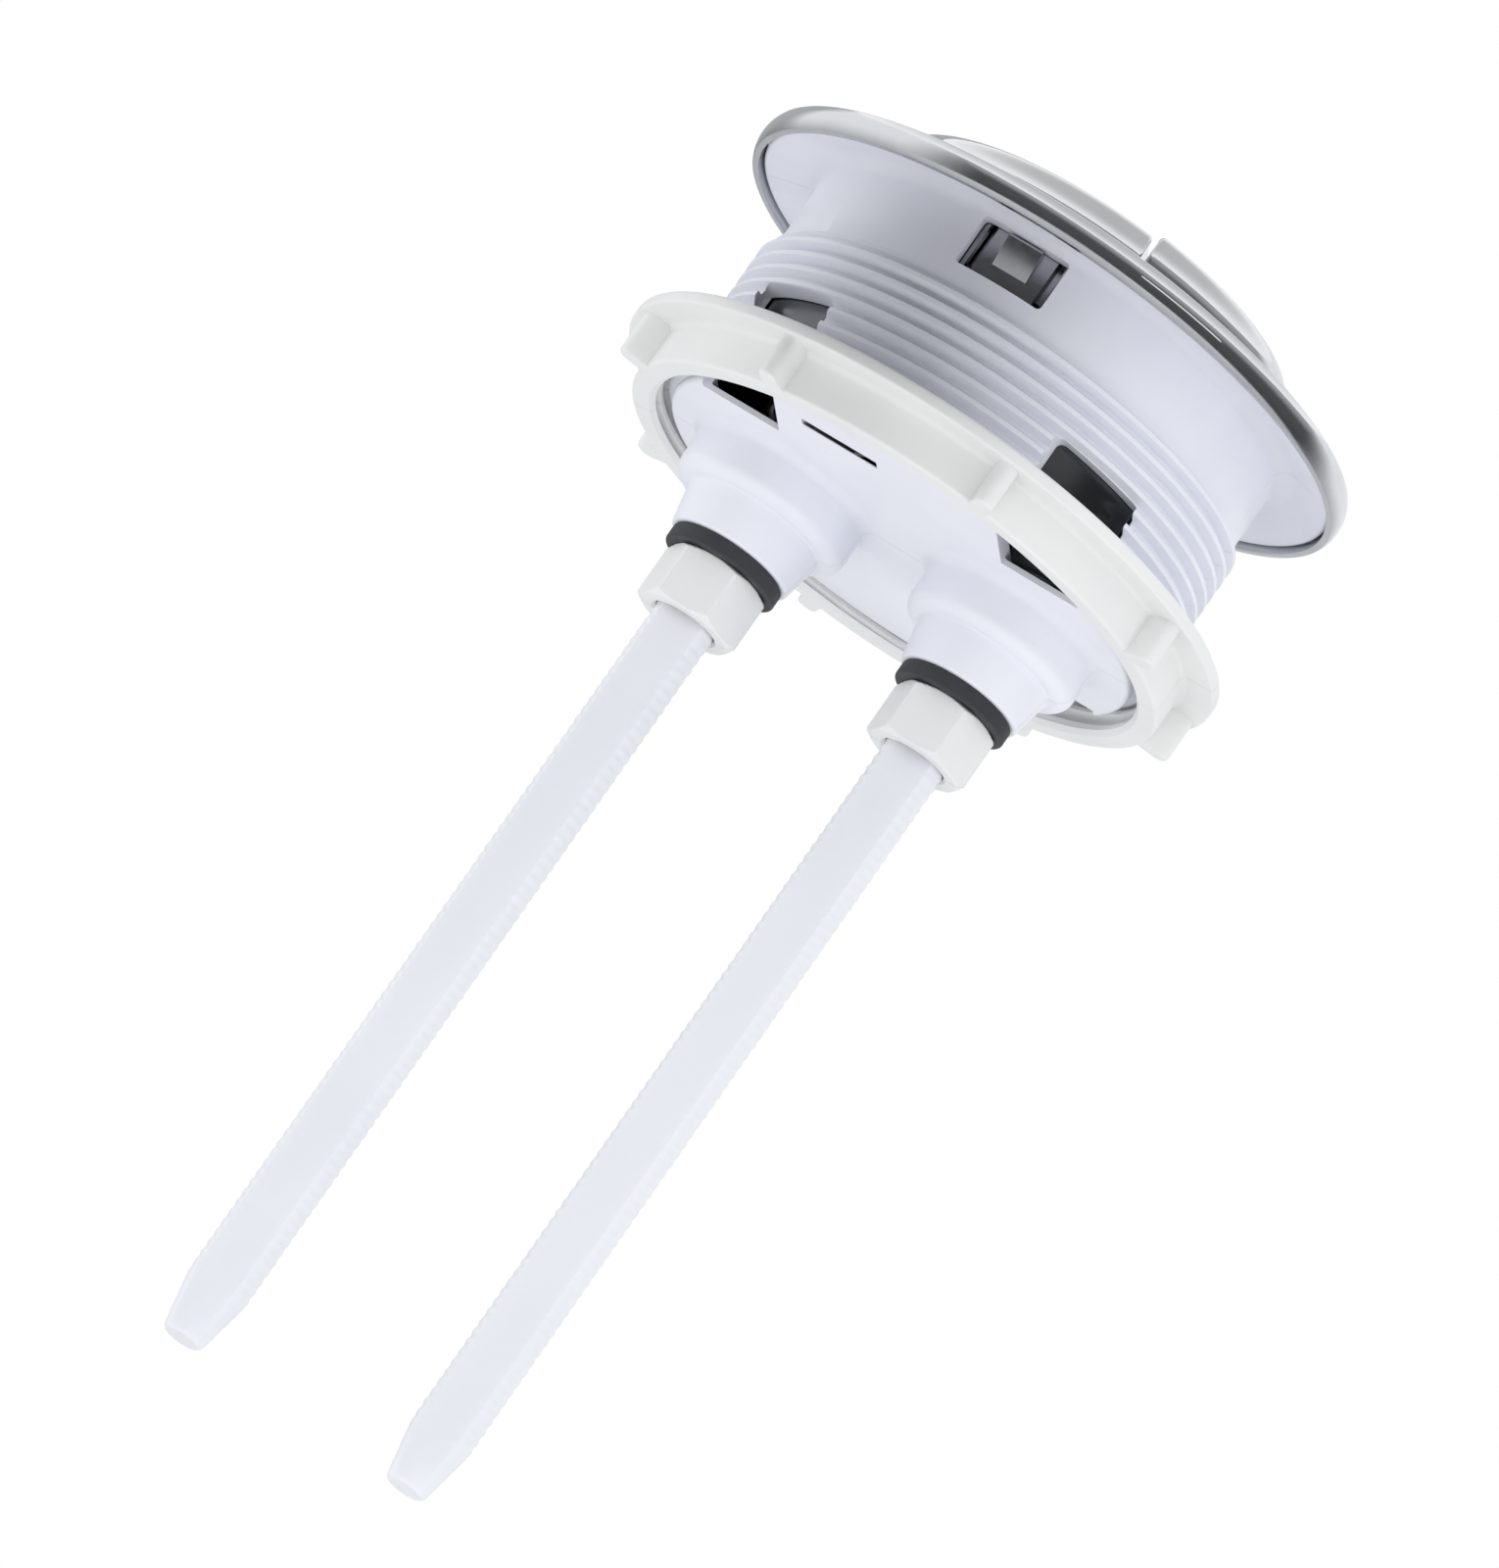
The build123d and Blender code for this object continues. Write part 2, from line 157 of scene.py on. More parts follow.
class HousingSizes(PropertyGroup):
    crest_radius: length("Thread crest", "Crest radius of the barrel's thread", 28.8)
    thread_depth: length("Thread depth", "Depth of the barrel's thread", 1.1)
    pitch: length("Thread pitch", "Pitch of the barrel's thread", 1.75)
    bore: length("Barrel bore", "Inner radius of the barrel", 26.2)
    neck_length: length("Neck", "Smooth length under the lid above the thread", 7.2)
    depth: length("Barrel depth", "Depth of the barrel's base", 26.2)
    base: length("Base", "Thickness of the base", 1.6)
    chamfer: length("Base chamfer", "Plain height between the thread and the base", 0.7)
    flange_radius: length("Flange radius", "Radius of the dished flange", 34.2)
    flange_thickness: length("Flange thickness", "Thickness of the dished flange", 1.05)
    flange_drop: length("Flange drop", "Distance of the flange below the bezel's slope", 1.6)
    neck_fillet: length("Neck fillet", "Fillet between the neck and the flange", 1.6)
    turret_radius: length("Turret radius", "Radius of the turrets under the base", 9.9)
    turret_height: length("Turret height", "Height of the turrets below the base", 5.5)
    shoulder_round: length("Shoulder rounding", "Rounding of the turrets' shoulder", 1.6)
    root_fillet: length("Root fillet", "Fillet between the turrets and the base", 1.4)
    guide_top: length("Guide top", "Radius of the guide at the shoulder", 7.8)
    guide_tip: length("Guide tip", "Radius of the guide at its end", 6.9)
    guide_length: length("Guide length", "Length of the guide below the shoulder", 4.7)
    pocket: length("Spring pocket", "Radius of the pocket for the spring", 8.1)
    pocket_floor: length("Pocket floor", "Wall below the spring pocket", 1.8)
    guide_bore: length("Guide bore", "Radius of the bore for the plunger", 4.5)
    rod_spacing: length("Rod spacing", "Distance between the two push rods", 27.8)
    window_width: length("Window width", "Width of the clip windows in the neck", 10.2)
    window_top: length("Window top", "Height of the clip windows' upper edge", 0.4)
    window_height: length("Window height", "Height of the clip windows", 5.8)
    slot_inner: length("Slot start", "Sideways distance of the slots from the middle", 13.4)
    slot_width: length("Slot width", "Width of the four slots", 9.2)
    slot_height: length("Slot height", "Height of the slots above the base", 11.6)
    slot_reach: length("Slot reach", "Distance of the slots' inner end from the middle", 14.2)
    slot_lip: length("Slot lip", "Thickness of the base at the slots' inner end", 0.6)
    slot_lip_length: length("Slot lip length", "Length of the thin lip at the slots' inner end", 4.0)
    slit_length: length("Slit length", "Length of the two slits in the base", 9.0)
    slit_width: length("Slit width", "Width of the two slits in the base", 1.6)
    slit_middle: length("Slit middle", "Sideways distance of the slits from the middle", 5.6)
    slit_reach: length("Slit reach", "Distance of the slits' inner side from the middle", 20.4)
    slit_edge: length("Slit edge", "Thickness of the base along the slits' inner side", 0.1)
    slit_edge_length: length("Slit edge length", "Length of the thin base along the slits", 6.0)


class LockRingSizes(PropertyGroup):
    bore: length("Bore", "Inner radius at the thread's crests", 29.1)
    thread_depth: length("Thread depth", "Depth of the ring's inner thread", 0.8)
    band: length("Band radius", "Outer radius of the band", 31.8)
    flange: length("Flange radius", "Outer radius of the flange", 35.4)
    flange_thickness: length("Flange thickness", "Thickness of the flange", 1.5)
    height: length("Height", "Height of the ring", 6.4)
    bottom: length("Bottom", "Height of the ring's lower face", -27.2)
    edge_round: length("Edge rounding", "Rounding of the flange's upper edge", 0.5)
    root_fillet: length("Root fillet", "Fillet between the band and the flange", 0.8)
    lug_count: IntProperty(name="Lugs", description="Number of grip lugs", default=8, min=3)
    lug_width: length("Lug width", "Width of a grip lug", 2.2)
    lug_reach: length("Lug reach", "How far a lug stands out of the band", 3.0)
    lug_round: length("Lug rounding", "Rounding of a lug's outer edges", 0.95)
    first_lug: degrees("First lug", "Angle of the first lug from the front", 22.5)


class ButtonSizes(PropertyGroup):
    radius: length("Radius", "Radius of both buttons together", 24.5)
    edge_height: length("Edge height", "Height of the buttons' round edge", 9.8)
    crown: length("Crown", "Rise of the dome over its edge", 1.2)
    edge_round: length("Edge rounding", "Rounding of the round edge", 4.0)
    wall: length("Wall", "Wall thickness of the caps", 1.6)
    skirt: length("Skirt", "Depth of the caps' skirts below the lid", 4.0)
    split_offset: length("Split offset", "Distance of the split from the middle", 6.4)
    split_radius: length("Split radius", "Radius of the split's arc", 81.0)
    split_gap: length("Split gap", "Gap between the two buttons", 0.6)
    split_round: length("Split rounding", "Rounding along the split", 0.5)
    half_rise: length("Half flush rise", "How much higher the half flush button stands", 0.7)
    socket: length("Socket", "Outer radius of the socket under a cap", 4.05)
    spigot: length("Spigot", "Bore of the socket under a cap", 2.65)
    rib: length("Rib", "Thickness of the ribs under a cap", 1.2)


class PlungerSizes(PropertyGroup):
    spigot: length("Spigot", "Radius of the spigot in the button", 2.6)
    spigot_length: length("Spigot length", "Length of the spigot", 6.0)
    head: length("Head", "Radius of the head on the spring", 6.3)
    head_thickness: length("Head thickness", "Thickness of the head", 2.0)
    head_top: length("Head top", "Height of the head's upper face", -4.0)
    stem: length("Stem", "Radius of the stem", 4.2)
    foot: length("Foot", "Height of the stem's lower end", -38.2)
    socket: length("Rod socket", "Radius of the socket for the rod", 3.55)
    socket_depth: length("Socket depth", "Depth of the socket for the rod", 23.0)
    spring_radius: length("Spring radius", "Mean radius of the return spring", 5.4)
    spring_wire: length("Spring wire", "Thickness of the spring's wire", 0.9)
    spring_turns: FloatProperty(
        name="Spring turns", description="Turns of the return spring", default=8.5, min=3)


class RodSizes(PropertyGroup):
    radius: length("Rod radius", "Crest radius of the rod's thread", 3.45)
    flats: length("Across flats", "Thickness of the rod between its flats", 4.8)
    thread_depth: length("Thread depth", "Depth of the rod's thread", 0.11)
    pitch: length("Thread pitch", "Pitch of the rod's thread", 1.25)
    tip_radius: length("Tip radius", "Radius of the rod's tip", 2.3)
    taper: length("Taper", "Length of the tapered tip", 6.0)
    tip_round: length("Tip rounding", "Rounding of the tip", 0.5)
    nut_flats: length("Nut across flats", "Width of the lock nut across its flats", 10.4)
    nut_bore: length("Nut bore", "Bore of the lock nut", 3.55)
    washer_bore: length("Washer bore", "Bore of the rubber washer", 4.3)
    washer_round: length("Washer rounding", "Rounding of the washer's edges", 0.3)


class FinishTones(PropertyGroup):
    chrome: tint("Chrome", "Bright plating of the bezel and buttons", (0.80, 0.81, 0.83))
    white: tint("Housing white", "Cool white of the housing", (0.845, 0.855, 0.92))
    ring: tint("Ring white", "Warmer white of the lock ring and nuts", (0.835, 0.84, 0.828))
    rod: tint("Rod white", "Natural white of the push rods", (0.835, 0.845, 0.887))
    rubber: tint("Rubber", "Black rubber of the washers", (0.045, 0.046, 0.05))
    steel: tint("Steel", "Drawn wire of the springs", (0.56, 0.56, 0.57))


class StudioSizes(PropertyGroup):
    azimuth: degrees("Azimuth", "Camera's turn about the barrel", -15.0)
    elevation: degrees("Elevation", "Camera's rise over the lid", -15.4)
    roll: degrees("Roll", "Camera's roll about its line of sight", -35.0)
    distance: length("Distance", "Camera's distance", 3000.0)
    scale: FloatProperty(name="Scale", description="Pixels of the image to a metre", default=10096.0)
    origin: FloatVectorProperty(
        name="Origin", description="Pixel that shows the middle of the seat", default=(1063.0, 351.6), size=2)
    floor: length("Floor", "Height of the floor", -1250.0)
    ambient: FloatProperty(name="Ambient", description="Strength of the light from all sides", default=1.0)


def rounded(corners, steps=6):
    """Path through (x, y, radius) corners, each inner corner an arc tangent to both of its sides.

    A point of the arc is c + r (u sin((1 - t) w) + v sin(t w)) / sin w, with c the arc's centre, u and v the
    directions from it to the tangent points, w the angle between them and t from 0 to 1.
    """
    spots = np.array([corner[:2] for corner in corners], float)
    share = np.linspace(0, 1, steps)[:, None]
    path = [spots[:1]]
    for spot, back, ahead, corner in zip(spots[1:-1], spots[:-2], spots[2:], corners[1:-1]):
        radius = corner[2] if len(corner) > 2 else 0.0
        if radius <= 0:
            path.append(spot[None])
            continue
        before = (back - spot) / np.linalg.norm(back - spot)
        after = (ahead - spot) / np.linalg.norm(ahead - spot)
        half = 0.5 * np.arccos(np.clip(before @ after, -1, 1))
        middle = (before + after) / np.linalg.norm(before + after)
        centre = spot + middle * radius / np.sin(half)
        start = spot + before * radius / np.tan(half) - centre
        end = spot + after * radius / np.tan(half) - centre
        sweep = math.pi - 2 * half
        arc = start * np.sin((1 - share) * sweep) + end * np.sin(share * sweep)
        path.append(centre + arc / np.sin(sweep))
    return np.concatenate([*path, spots[-1:]])


def rounded_loop(start, *corners):
    """Closed outline from a plain starting point through rounded corners, without the start at its end."""
    return rounded([start, *corners, start])[:-1]


def window_outline(left, right, low, high, radius):
    """Rectangle with rounded corners, as a closed outline."""
    sides = ((right, low), (right, high), (left, high), (left, low))
    return rounded_loop(((left + right) / 2, low), *((*side, radius) for side in sides))


def around(count):
    """Angles of one whole turn, with the first one repeated at its end."""
    return np.linspace(0, FULL_TURN, count + 1)


def turned(radius, height, angles, x=0.0):
    """Surface of revolution: the point at row i and angle a is (x + r_i cos a, r_i sin a, h_i).

    Radius and height are one number a row, or one for each row and angle.
    """
    radius, height = (np.reshape(part, (len(part), -1)) for part in (radius, height))
    radius, height, angles = np.broadcast_arrays(radius, height, angles)
    return np.stack([x + radius * np.cos(angles), radius * np.sin(angles), height], axis=-1)


def quads(rows, columns, close_rows=False, close_columns=False):
    """Faces of a grid of points, which may close on itself along its rows or its columns."""
    row, column = np.meshgrid(
        np.arange(rows if close_rows else rows - 1),
        np.arange(columns if close_columns else columns - 1),
        indexing="ij",
    )
    below, beside = (row + 1) % rows, (column + 1) % columns
    corners = [(row, column), (row, beside), (below, beside), (below, column)]
    return np.stack([along * columns + across for along, across in corners], axis=-1).reshape(-1, 4)


def lathe(profile, count, x=0.0, closed=False):
    """Shell from a profile of (radius, height) turned round an upright axis at x; a closed one is a ring."""
    angles = around(count)
    return turned(*profile.T, angles, x), quads(len(profile), len(angles), close_rows=closed)


def bar(outline, low, high, turn=False):
    """Shell of an outline in XZ carried along Y from low to high, or one in YZ carried along X."""
    count = len(outline)
    along = np.repeat([low, high], count)
    across, up = np.tile(outline, (2, 1)).T
    points = np.stack([along, across, up] if turn else [across, along, up], axis=-1)
    ring = np.arange(count)[None]
    return points, quads(2, count, close_columns=True), ring, ring + count


def thread_rows(angles, high, low, pitch, ridge, run_out):
    """Heights and depth shares of a right hand thread, for each row and angle.

    Row k of turn n is at z = high - pitch (n + k) + pitch a / 2 pi, held between low and high. The ridge
    fades in and out over run_out at the two ends, as f f (3 - 2 f).
    """
    turns = math.ceil((high - low) / pitch) + 2
    rows = (np.arange(turns)[:, None] + ridge[:, 0]).ravel()[:, None]
    height = np.clip(high - pitch * (rows - (angles - angles[0]) / FULL_TURN), low, high)
    fade = np.clip((high - height) / run_out, 0, 1) * np.clip((height - low) / run_out, 0, 1)
    return height, np.tile(ridge[:, 1], turns)[:, None] * fade * fade * (3 - 2 * fade)


def stack_rows(angles, *bands):
    """Bands of (radius, height) rows one after another, each spread over all the angles."""
    wide = [[np.broadcast_to(part.reshape(len(part), -1), (len(part), len(angles))) for part in band]
            for band in bands]
    return tuple(np.concatenate(parts) for parts in zip(*wide))


def shade(mesh, sharp):
    """Smooth shading, broken at edges sharper than an angle in degrees."""
    mesh.polygons.foreach_set("use_smooth", np.ones(len(mesh.polygons), bool))
    mesh.set_sharp_from_angle(angle=math.radians(sharp))


def solid(name, *shells, sharp=40):
    """Object of one or more closed shells of points and faces, welded, with its faces outward."""
    spots, faces, start = [], [], 0
    for points, *sheets in shells:
        points = np.reshape(points, (-1, 3))
        for sheet in sheets:
            faces += (sheet + start).tolist()
        spots.append(points)
        start += len(points)
    mesh = bpy.data.meshes.new(name)
    mesh.from_pydata(np.concatenate(spots).tolist(), [], faces)
    form = bmesh.new()
    form.from_mesh(mesh)
    bmesh.ops.remove_doubles(form, verts=form.verts[:], dist=WELD)
    bmesh.ops.dissolve_degenerate(form, edges=form.edges[:], dist=SLIVER)
    bmesh.ops.recalc_face_normals(form, faces=form.faces[:])
    form.to_mesh(mesh)
    form.free()
    shade(mesh, sharp)
    piece = bpy.data.objects.new(name, mesh)
    bpy.context.scene.collection.objects.link(piece)
    return piece


def combine(piece, tools, operation, sharp=40):
    """Joins solids to a piece or cuts them out of it, all at once; they are used up."""
    together = bpy.data.collections.new("tools")
    for tool in tools:
        together.objects.link(tool)
    change = piece.modifiers.new(operation, "BOOLEAN")
    change.operation = operation
    change.solver = "EXACT"
    change.operand_type = "COLLECTION"
    change.collection = together
    seen = piece.evaluated_get(bpy.context.evaluated_depsgraph_get())
    mesh = bpy.data.meshes.new_from_object(seen)
    piece.modifiers.clear()
    bpy.data.collections.remove(together)
    used = [piece.data, *(tool.data for tool in tools)]
    piece.data = mesh
    for before in used:
        bpy.data.meshes.remove(before)
    mesh.name = piece.name
    shade(mesh, sharp)


def calc(tree, operation, first, second=0.5):
    """Math node between two sockets or numbers."""
    node = tree.nodes.new("ShaderNodeMath")
    node.operation = operation
    for socket, value in zip(node.inputs, (first, second)):
        if isinstance(value, bpy.types.NodeSocket):
            tree.links.new(value, socket)
        else:
            socket.default_value = value
    return node.outputs[0]


def spread(tree, value, low, high, out_low, out_high):
    """Map Range node with a smooth step from low and high to two new values."""
    node = tree.nodes.new("ShaderNodeMapRange")
    node.interpolation_type = "SMOOTHSTEP"
    tree.links.new(value, node.inputs["Value"])
    for label, number in zip(("From Min", "From Max", "To Min", "To Max"), (low, high, out_low, out_high)):
        node.inputs[label].default_value = number
    return node.outputs["Result"]


def position(tree):
    """Object coordinates of a point of the surface."""
    return tree.nodes.new("ShaderNodeTexCoord").outputs["Object"]


def position_along(tree, axis):
    """Object coordinate of a point of the surface along X, Y or Z."""
    axes = tree.nodes.new("ShaderNodeSeparateXYZ")
    tree.links.new(position(tree), axes.inputs[0])
    return axes.outputs[axis]


def noise(tree, scale, detail, stretch=(1, 1, 1)):
    """Noise on Object coordinates, its scale in cells to the metre and stretched along the axes."""
    mapping = tree.nodes.new("ShaderNodeMapping")
    mapping.inputs["Scale"].default_value = stretch
    texture = tree.nodes.new("ShaderNodeTexNoise")
    texture.inputs["Scale"].default_value = scale
    texture.inputs["Detail"].default_value = detail
    tree.links.new(position(tree), mapping.inputs["Vector"])
    tree.links.new(mapping.outputs["Vector"], texture.inputs["Vector"])
    return texture.outputs["Fac"]


def blend_tone(tree, share, tone, factor):
    """Colour that goes from tone to tone times factor as share goes from 0 to 1."""
    scale = tree.nodes.new("ShaderNodeVectorMath")
    scale.operation = "MULTIPLY"
    scale.inputs[1].default_value = factor
    tree.links.new(tone, scale.inputs[0])
    mix = tree.nodes.new("ShaderNodeMix")
    mix.data_type = "RGBA"
    tree.links.new(share, mix.inputs["Factor"])
    tree.links.new(tone, mix.inputs[6])
    tree.links.new(scale.outputs[0], mix.inputs[7])
    return mix.outputs[2]


def relief(tree, height, strength, depth):
    """Bump node on a height, its depth in millimetres."""
    node = tree.nodes.new("ShaderNodeBump")
    node.inputs["Strength"].default_value = strength
    node.inputs["Distance"].default_value = depth * MM
    tree.links.new(height, node.inputs["Height"])
    return node


def effect_group(name, inputs, outputs):
    """New node group with its inputs as (label, kind) and outputs as (label, kind)."""
    group = bpy.data.node_groups.new(name, "ShaderNodeTree")
    for way, sockets in (("INPUT", inputs), ("OUTPUT", outputs)):
        for label, kind in sockets:
            group.interface.new_socket(label, in_out=way, socket_type=f"NodeSocket{kind}")
    return group, group.nodes.new("NodeGroupInput"), group.nodes.new("NodeGroupOutput")


def place_effect(tree, group):
    """Node that puts a group into a tree."""
    node = tree.nodes.new("ShaderNodeGroup")
    node.node_tree = group
    return node


def feed(tree, node, **sockets):
    """Links sockets to a node's inputs by their labels."""
    for label, socket in sockets.items():
        tree.links.new(socket, node.inputs[label])


def handling_marks():
    """Soft smears left by hands and wiping: a Mask from 0 to 1."""
    group = bpy.data.node_groups.get("handling_marks")
    if group is None:
        group, _, result = effect_group("handling_marks", [], [("Mask", "Float")])
        smear = noise(group, 70, 4, (1.0, 1.6, 0.7))
        streak = noise(group, 260, 2, (1.0, 0.35, 1.0))
        feed(group, result, Mask=calc(group, "MULTIPLY", spread(group, smear, 0.45, 0.72, 0.0, 1.0), streak))
    return group


def moulded_skin():
    """Skin of a moulded plastic: faint flow clouds in the Color, fine grain in Roughness and Height."""
    group = bpy.data.node_groups.get("moulded_skin")
    if group is None:
        group, given, result = effect_group(
            "moulded_skin",
            [("Tone", "Color"), ("Gloss", "Float")],
            [("Color", "Color"), ("Roughness", "Float"), ("Height", "Float")],
        )
        cloud = noise(group, 95, 4, (1.0, 1.0, 0.5))
        grain = noise(group, 2600, 5)
        ripple = noise(group, 420, 2)
        marks = place_effect(group, handling_marks()).outputs["Mask"]
        stain = calc(
            group, "ADD", spread(group, cloud, 0.35, 0.7, 0.0, 0.7), calc(group, "MULTIPLY", marks, 0.5))
        uneven = calc(
            group, "ADD",
            spread(group, grain, 0.3, 0.7, -0.05, 0.05), spread(group, cloud, 0.3, 0.7, -0.04, 0.04))
        feed(
            group, result,
            Color=blend_tone(group, stain, given.outputs["Tone"], (0.955, 0.958, 0.965)),
            Roughness=calc(group, "ADD", given.outputs["Gloss"], uneven),
            Height=calc(
                group, "ADD", calc(group, "MULTIPLY", grain, 0.35), calc(group, "MULTIPLY", ripple, 0.65)),
        )
    return group


def parting_seam():
    """Thin raised line where the two halves of a mould met, in the plane of X and Z: a Height from 0 to 1."""
    group = bpy.data.node_groups.get("parting_seam")
    if group is None:
        group, _, result = effect_group("parting_seam", [], [("Height", "Float")])
        off = calc(group, "ABSOLUTE", position_along(group, "Y"))
        feed(group, result, Height=spread(group, off, 0.06 * MM, 0.22 * MM, 1.0, 0.0))
    return group


def plated_skin():
    """Skin of bright plating: a slight orange peel in Height, hairlines and smears in Roughness and Color.

    Below the lid it is duller, and its colour carries painted shade: darker below the lid and darkest far
    down in the barrel.
    """
    group = bpy.data.node_groups.get("plated_skin")
    if group is None:
        group, given, result = effect_group(
            "plated_skin",
            [("Tone", "Color")],
            [("Color", "Color"), ("Roughness", "Float"), ("Height", "Float")],
        )
        peel = noise(group, 240, 2)
        hairline = noise(group, 1500, 3, (1.0, 0.06, 1.0))
        marks = place_effect(group, handling_marks()).outputs["Mask"]
        height = position_along(group, "Z")
        # Painted shade: the colour is multiplied by 0.48 below the lid and by a further 0.42 far down in the
        # barrel; below the lid it is also rougher
        under_lid_shade_and_dullness = spread(group, height, -0.6 * MM, 1.4 * MM, 1.0, 0.0)
        deep_barrel_painted_shade = spread(group, height, -13 * MM, -6 * MM, 1.0, 0.0)
        bright = blend_tone(group, marks, given.outputs["Tone"], (0.90, 0.905, 0.92))
        shaded = blend_tone(group, under_lid_shade_and_dullness, bright, (0.48, 0.48, 0.49))
        worn = calc(
            group, "ADD",
            spread(group, hairline, 0.35, 0.75, 0.035, 0.075), calc(group, "MULTIPLY", marks, 0.10))
        feed(
            group, result,
            Color=blend_tone(group, deep_barrel_painted_shade, shaded, (0.42, 0.42, 0.43)),
            Roughness=calc(group, "ADD", worn, calc(group, "MULTIPLY", under_lid_shade_and_dullness, 0.16)),
            Height=peel,
        )
    return group


def new_material(name, values):
    """Material with values on its shader's own sockets; gives the material, its nodes and the shader."""
    material = bpy.data.materials.new(name)
    material.use_nodes = True
    shader = material.node_tree.nodes["Principled BSDF"]
    for label, value in values.items():
        shader.inputs[label].default_value = value
    return material, material.node_tree, shader


def finish(name):
    """Material of a finish, made when it is first asked for: a skin on a shader, with relief and seam."""
    material = bpy.data.materials.get(name)
    if material is None:
        look = FINISHES[name]
        material, tree, shader = new_material(name, look["shader"])
        skin = place_effect(tree, moulded_skin() if "gloss" in look else plated_skin())
        skin.inputs["Tone"].default_value = (*getattr(bpy.context.scene.push_button_tones, look["tone"]), 1.0)
        if "gloss" in look:
            skin.inputs["Gloss"].default_value = look["gloss"]
        grain = relief(tree, skin.outputs["Height"], *look["relief"])
        if "seam" in look:
            seam = relief(tree, place_effect(tree, parting_seam()).outputs["Height"], *SEAM_RELIEF)
            feed(tree, grain, Normal=seam.outputs["Normal"])
        feed(tree, shader, Roughness=skin.outputs["Roughness"], Normal=grain.outputs["Normal"])
        tree.links.new(skin.outputs["Color"], shader.inputs["Base Color"])
    return material


def dress(piece, look, body, slot, *nodes):
    """Gives a piece its finish, the body that carries it and the solids that it stands for."""
    piece.data.materials.clear()
    piece.data.materials.append(finish(look))
    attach(piece, body)
    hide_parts(*nodes)


def slope_height(sizes, radius, drop=0.0):
    """Height of the bezel's straight slope at a radius, lowered by drop."""
    outside = sizes.rim_radius - sizes.rim_bulge
    run = (outside - radius) / (outside - sizes.bore)
    return sizes.rim_height + (sizes.collar_height - sizes.rim_height) * run - drop


def bezel_profile(sizes):
    """Section of the bezel: bowed rim, crowned slope, rounded collar, sleeve and underside.

    The rim's side is an arc of radius (h h + b b) / 2 b for half height h and bulge b. The slope is the chord
    from rim to collar plus 4 c u (1 - u) for crown c and u from 0 to 1.
    """
    foot_edge, bore_edge, sleeve_edge = 0.15 * MM, 0.25 * MM, 0.35 * MM
    collar_lift, tongue_room, foot_height = 0.06 * MM, 0.4 * MM, 0.2 * MM
    half, bulge = sizes.rim_height / 2, sizes.rim_bulge
    bow = (half * half + bulge * bulge) / (2 * bulge)
    arc_share, u = np.linspace(-0.72, 0.55, 8), np.linspace(0.06, 0.96, 16)[:, None]
    tilt = arc_share * math.asin(half / bow)
    rim = np.stack([sizes.rim_radius - bow + bow * np.cos(tilt), half + bow * np.sin(tilt)], axis=-1)
    rim_top = np.array((sizes.rim_radius - bulge, sizes.rim_height))
    collar_edge = np.array((sizes.bore + sizes.collar_round, sizes.collar_height))
    slope = rim_top + (collar_edge - rim_top) * u + np.array((0, 4 * sizes.crown)) * u * (1 - u)
    rim_bore = sizes.rim_radius - sizes.rim_lip
    return rounded([
        (rim_bore, 0),
        (sizes.rim_radius - bulge, 0, foot_edge),
        *rim.tolist(),
        (*rim_top.tolist(), sizes.rim_round),
        *slope.tolist(),
        (sizes.bore, sizes.collar_height + collar_lift, sizes.collar_round),
        (sizes.bore, -sizes.sleeve_depth, bore_edge),
        (sizes.sleeve_radius, -sizes.sleeve_depth, sleeve_edge),
        (sizes.sleeve_radius, sizes.tongue_top + tongue_room),
        (sizes.sleeve_radius, slope_height(sizes, sizes.sleeve_radius, sizes.wall)),
        (rim_bore, slope_height(sizes, rim_bore, sizes.wall)),
        (rim_bore, foot_height),
    ], steps=8)


def slit_outline(sizes):
    """Three sided slit round a snap tongue, as an outline in XZ."""
    top, inside, low = sizes.tongue_top, sizes.tongue_width / 2, -sizes.tongue_depth
    outside, floor = inside + sizes.tongue_slit, low - sizes.tongue_slit
    return np.array([
        (-outside, top), (-outside, floor), (outside, floor), (outside, top),
        (inside, top), (inside, low), (-inside, low), (-inside, top),
    ])


def catch_shell(sizes, way):
    """Square catch on a tongue: a ramp with softened edges, carried along X; way is the side of Y."""
    sunk, tip_edge, foot_edge, foot_reach = 0.5 * MM, 0.25 * MM, 0.2 * MM, 0.05 * MM
    root = sizes.sleeve_radius - sunk
    foot = sizes.catch_top - sizes.catch_height
    side = rounded_loop(
        (root, sizes.catch_top - sizes.catch_height / 2),
        (root, sizes.catch_top),
        (sizes.sleeve_radius + sizes.catch_reach, sizes.catch_top, tip_edge),
        (sizes.sleeve_radius + foot_reach, foot, foot_edge),
        (root, foot),
    )
    return bar(side * (way, 1), -sizes.catch_width / 2, sizes.catch_width / 2, turn=True)


class PUSHBUTTON_OT_bezel(Operator):
    """Adds the chromed bezel with its sleeve, snap tongues and catches."""

    bl_idname = "push_button.add_bezel"
    bl_label = "Add bezel"

    def execute(self, context):
        sizes = context.scene.push_button_bezel
        piece = solid("bezel_ring", lathe(bezel_profile(sizes), count=256, closed=True), sharp=50)
        slits, catches = [], []
        for way in (-1, 1):
            near, far = sorted((way * (sizes.bore - MM), way * (sizes.sleeve_radius + MM)))
            slits.append(solid("tongue_slit", bar(slit_outline(sizes), near, far)))
            catches.append(solid("tongue_catch", catch_shell(sizes, way)))
        combine(piece, slits, "DIFFERENCE", sharp=50)
        combine(piece, catches, "UNION", sharp=50)
        dress(piece, "chrome_plating", "lid_unit", "chrome", "bezel")
        return {"FINISHED"}


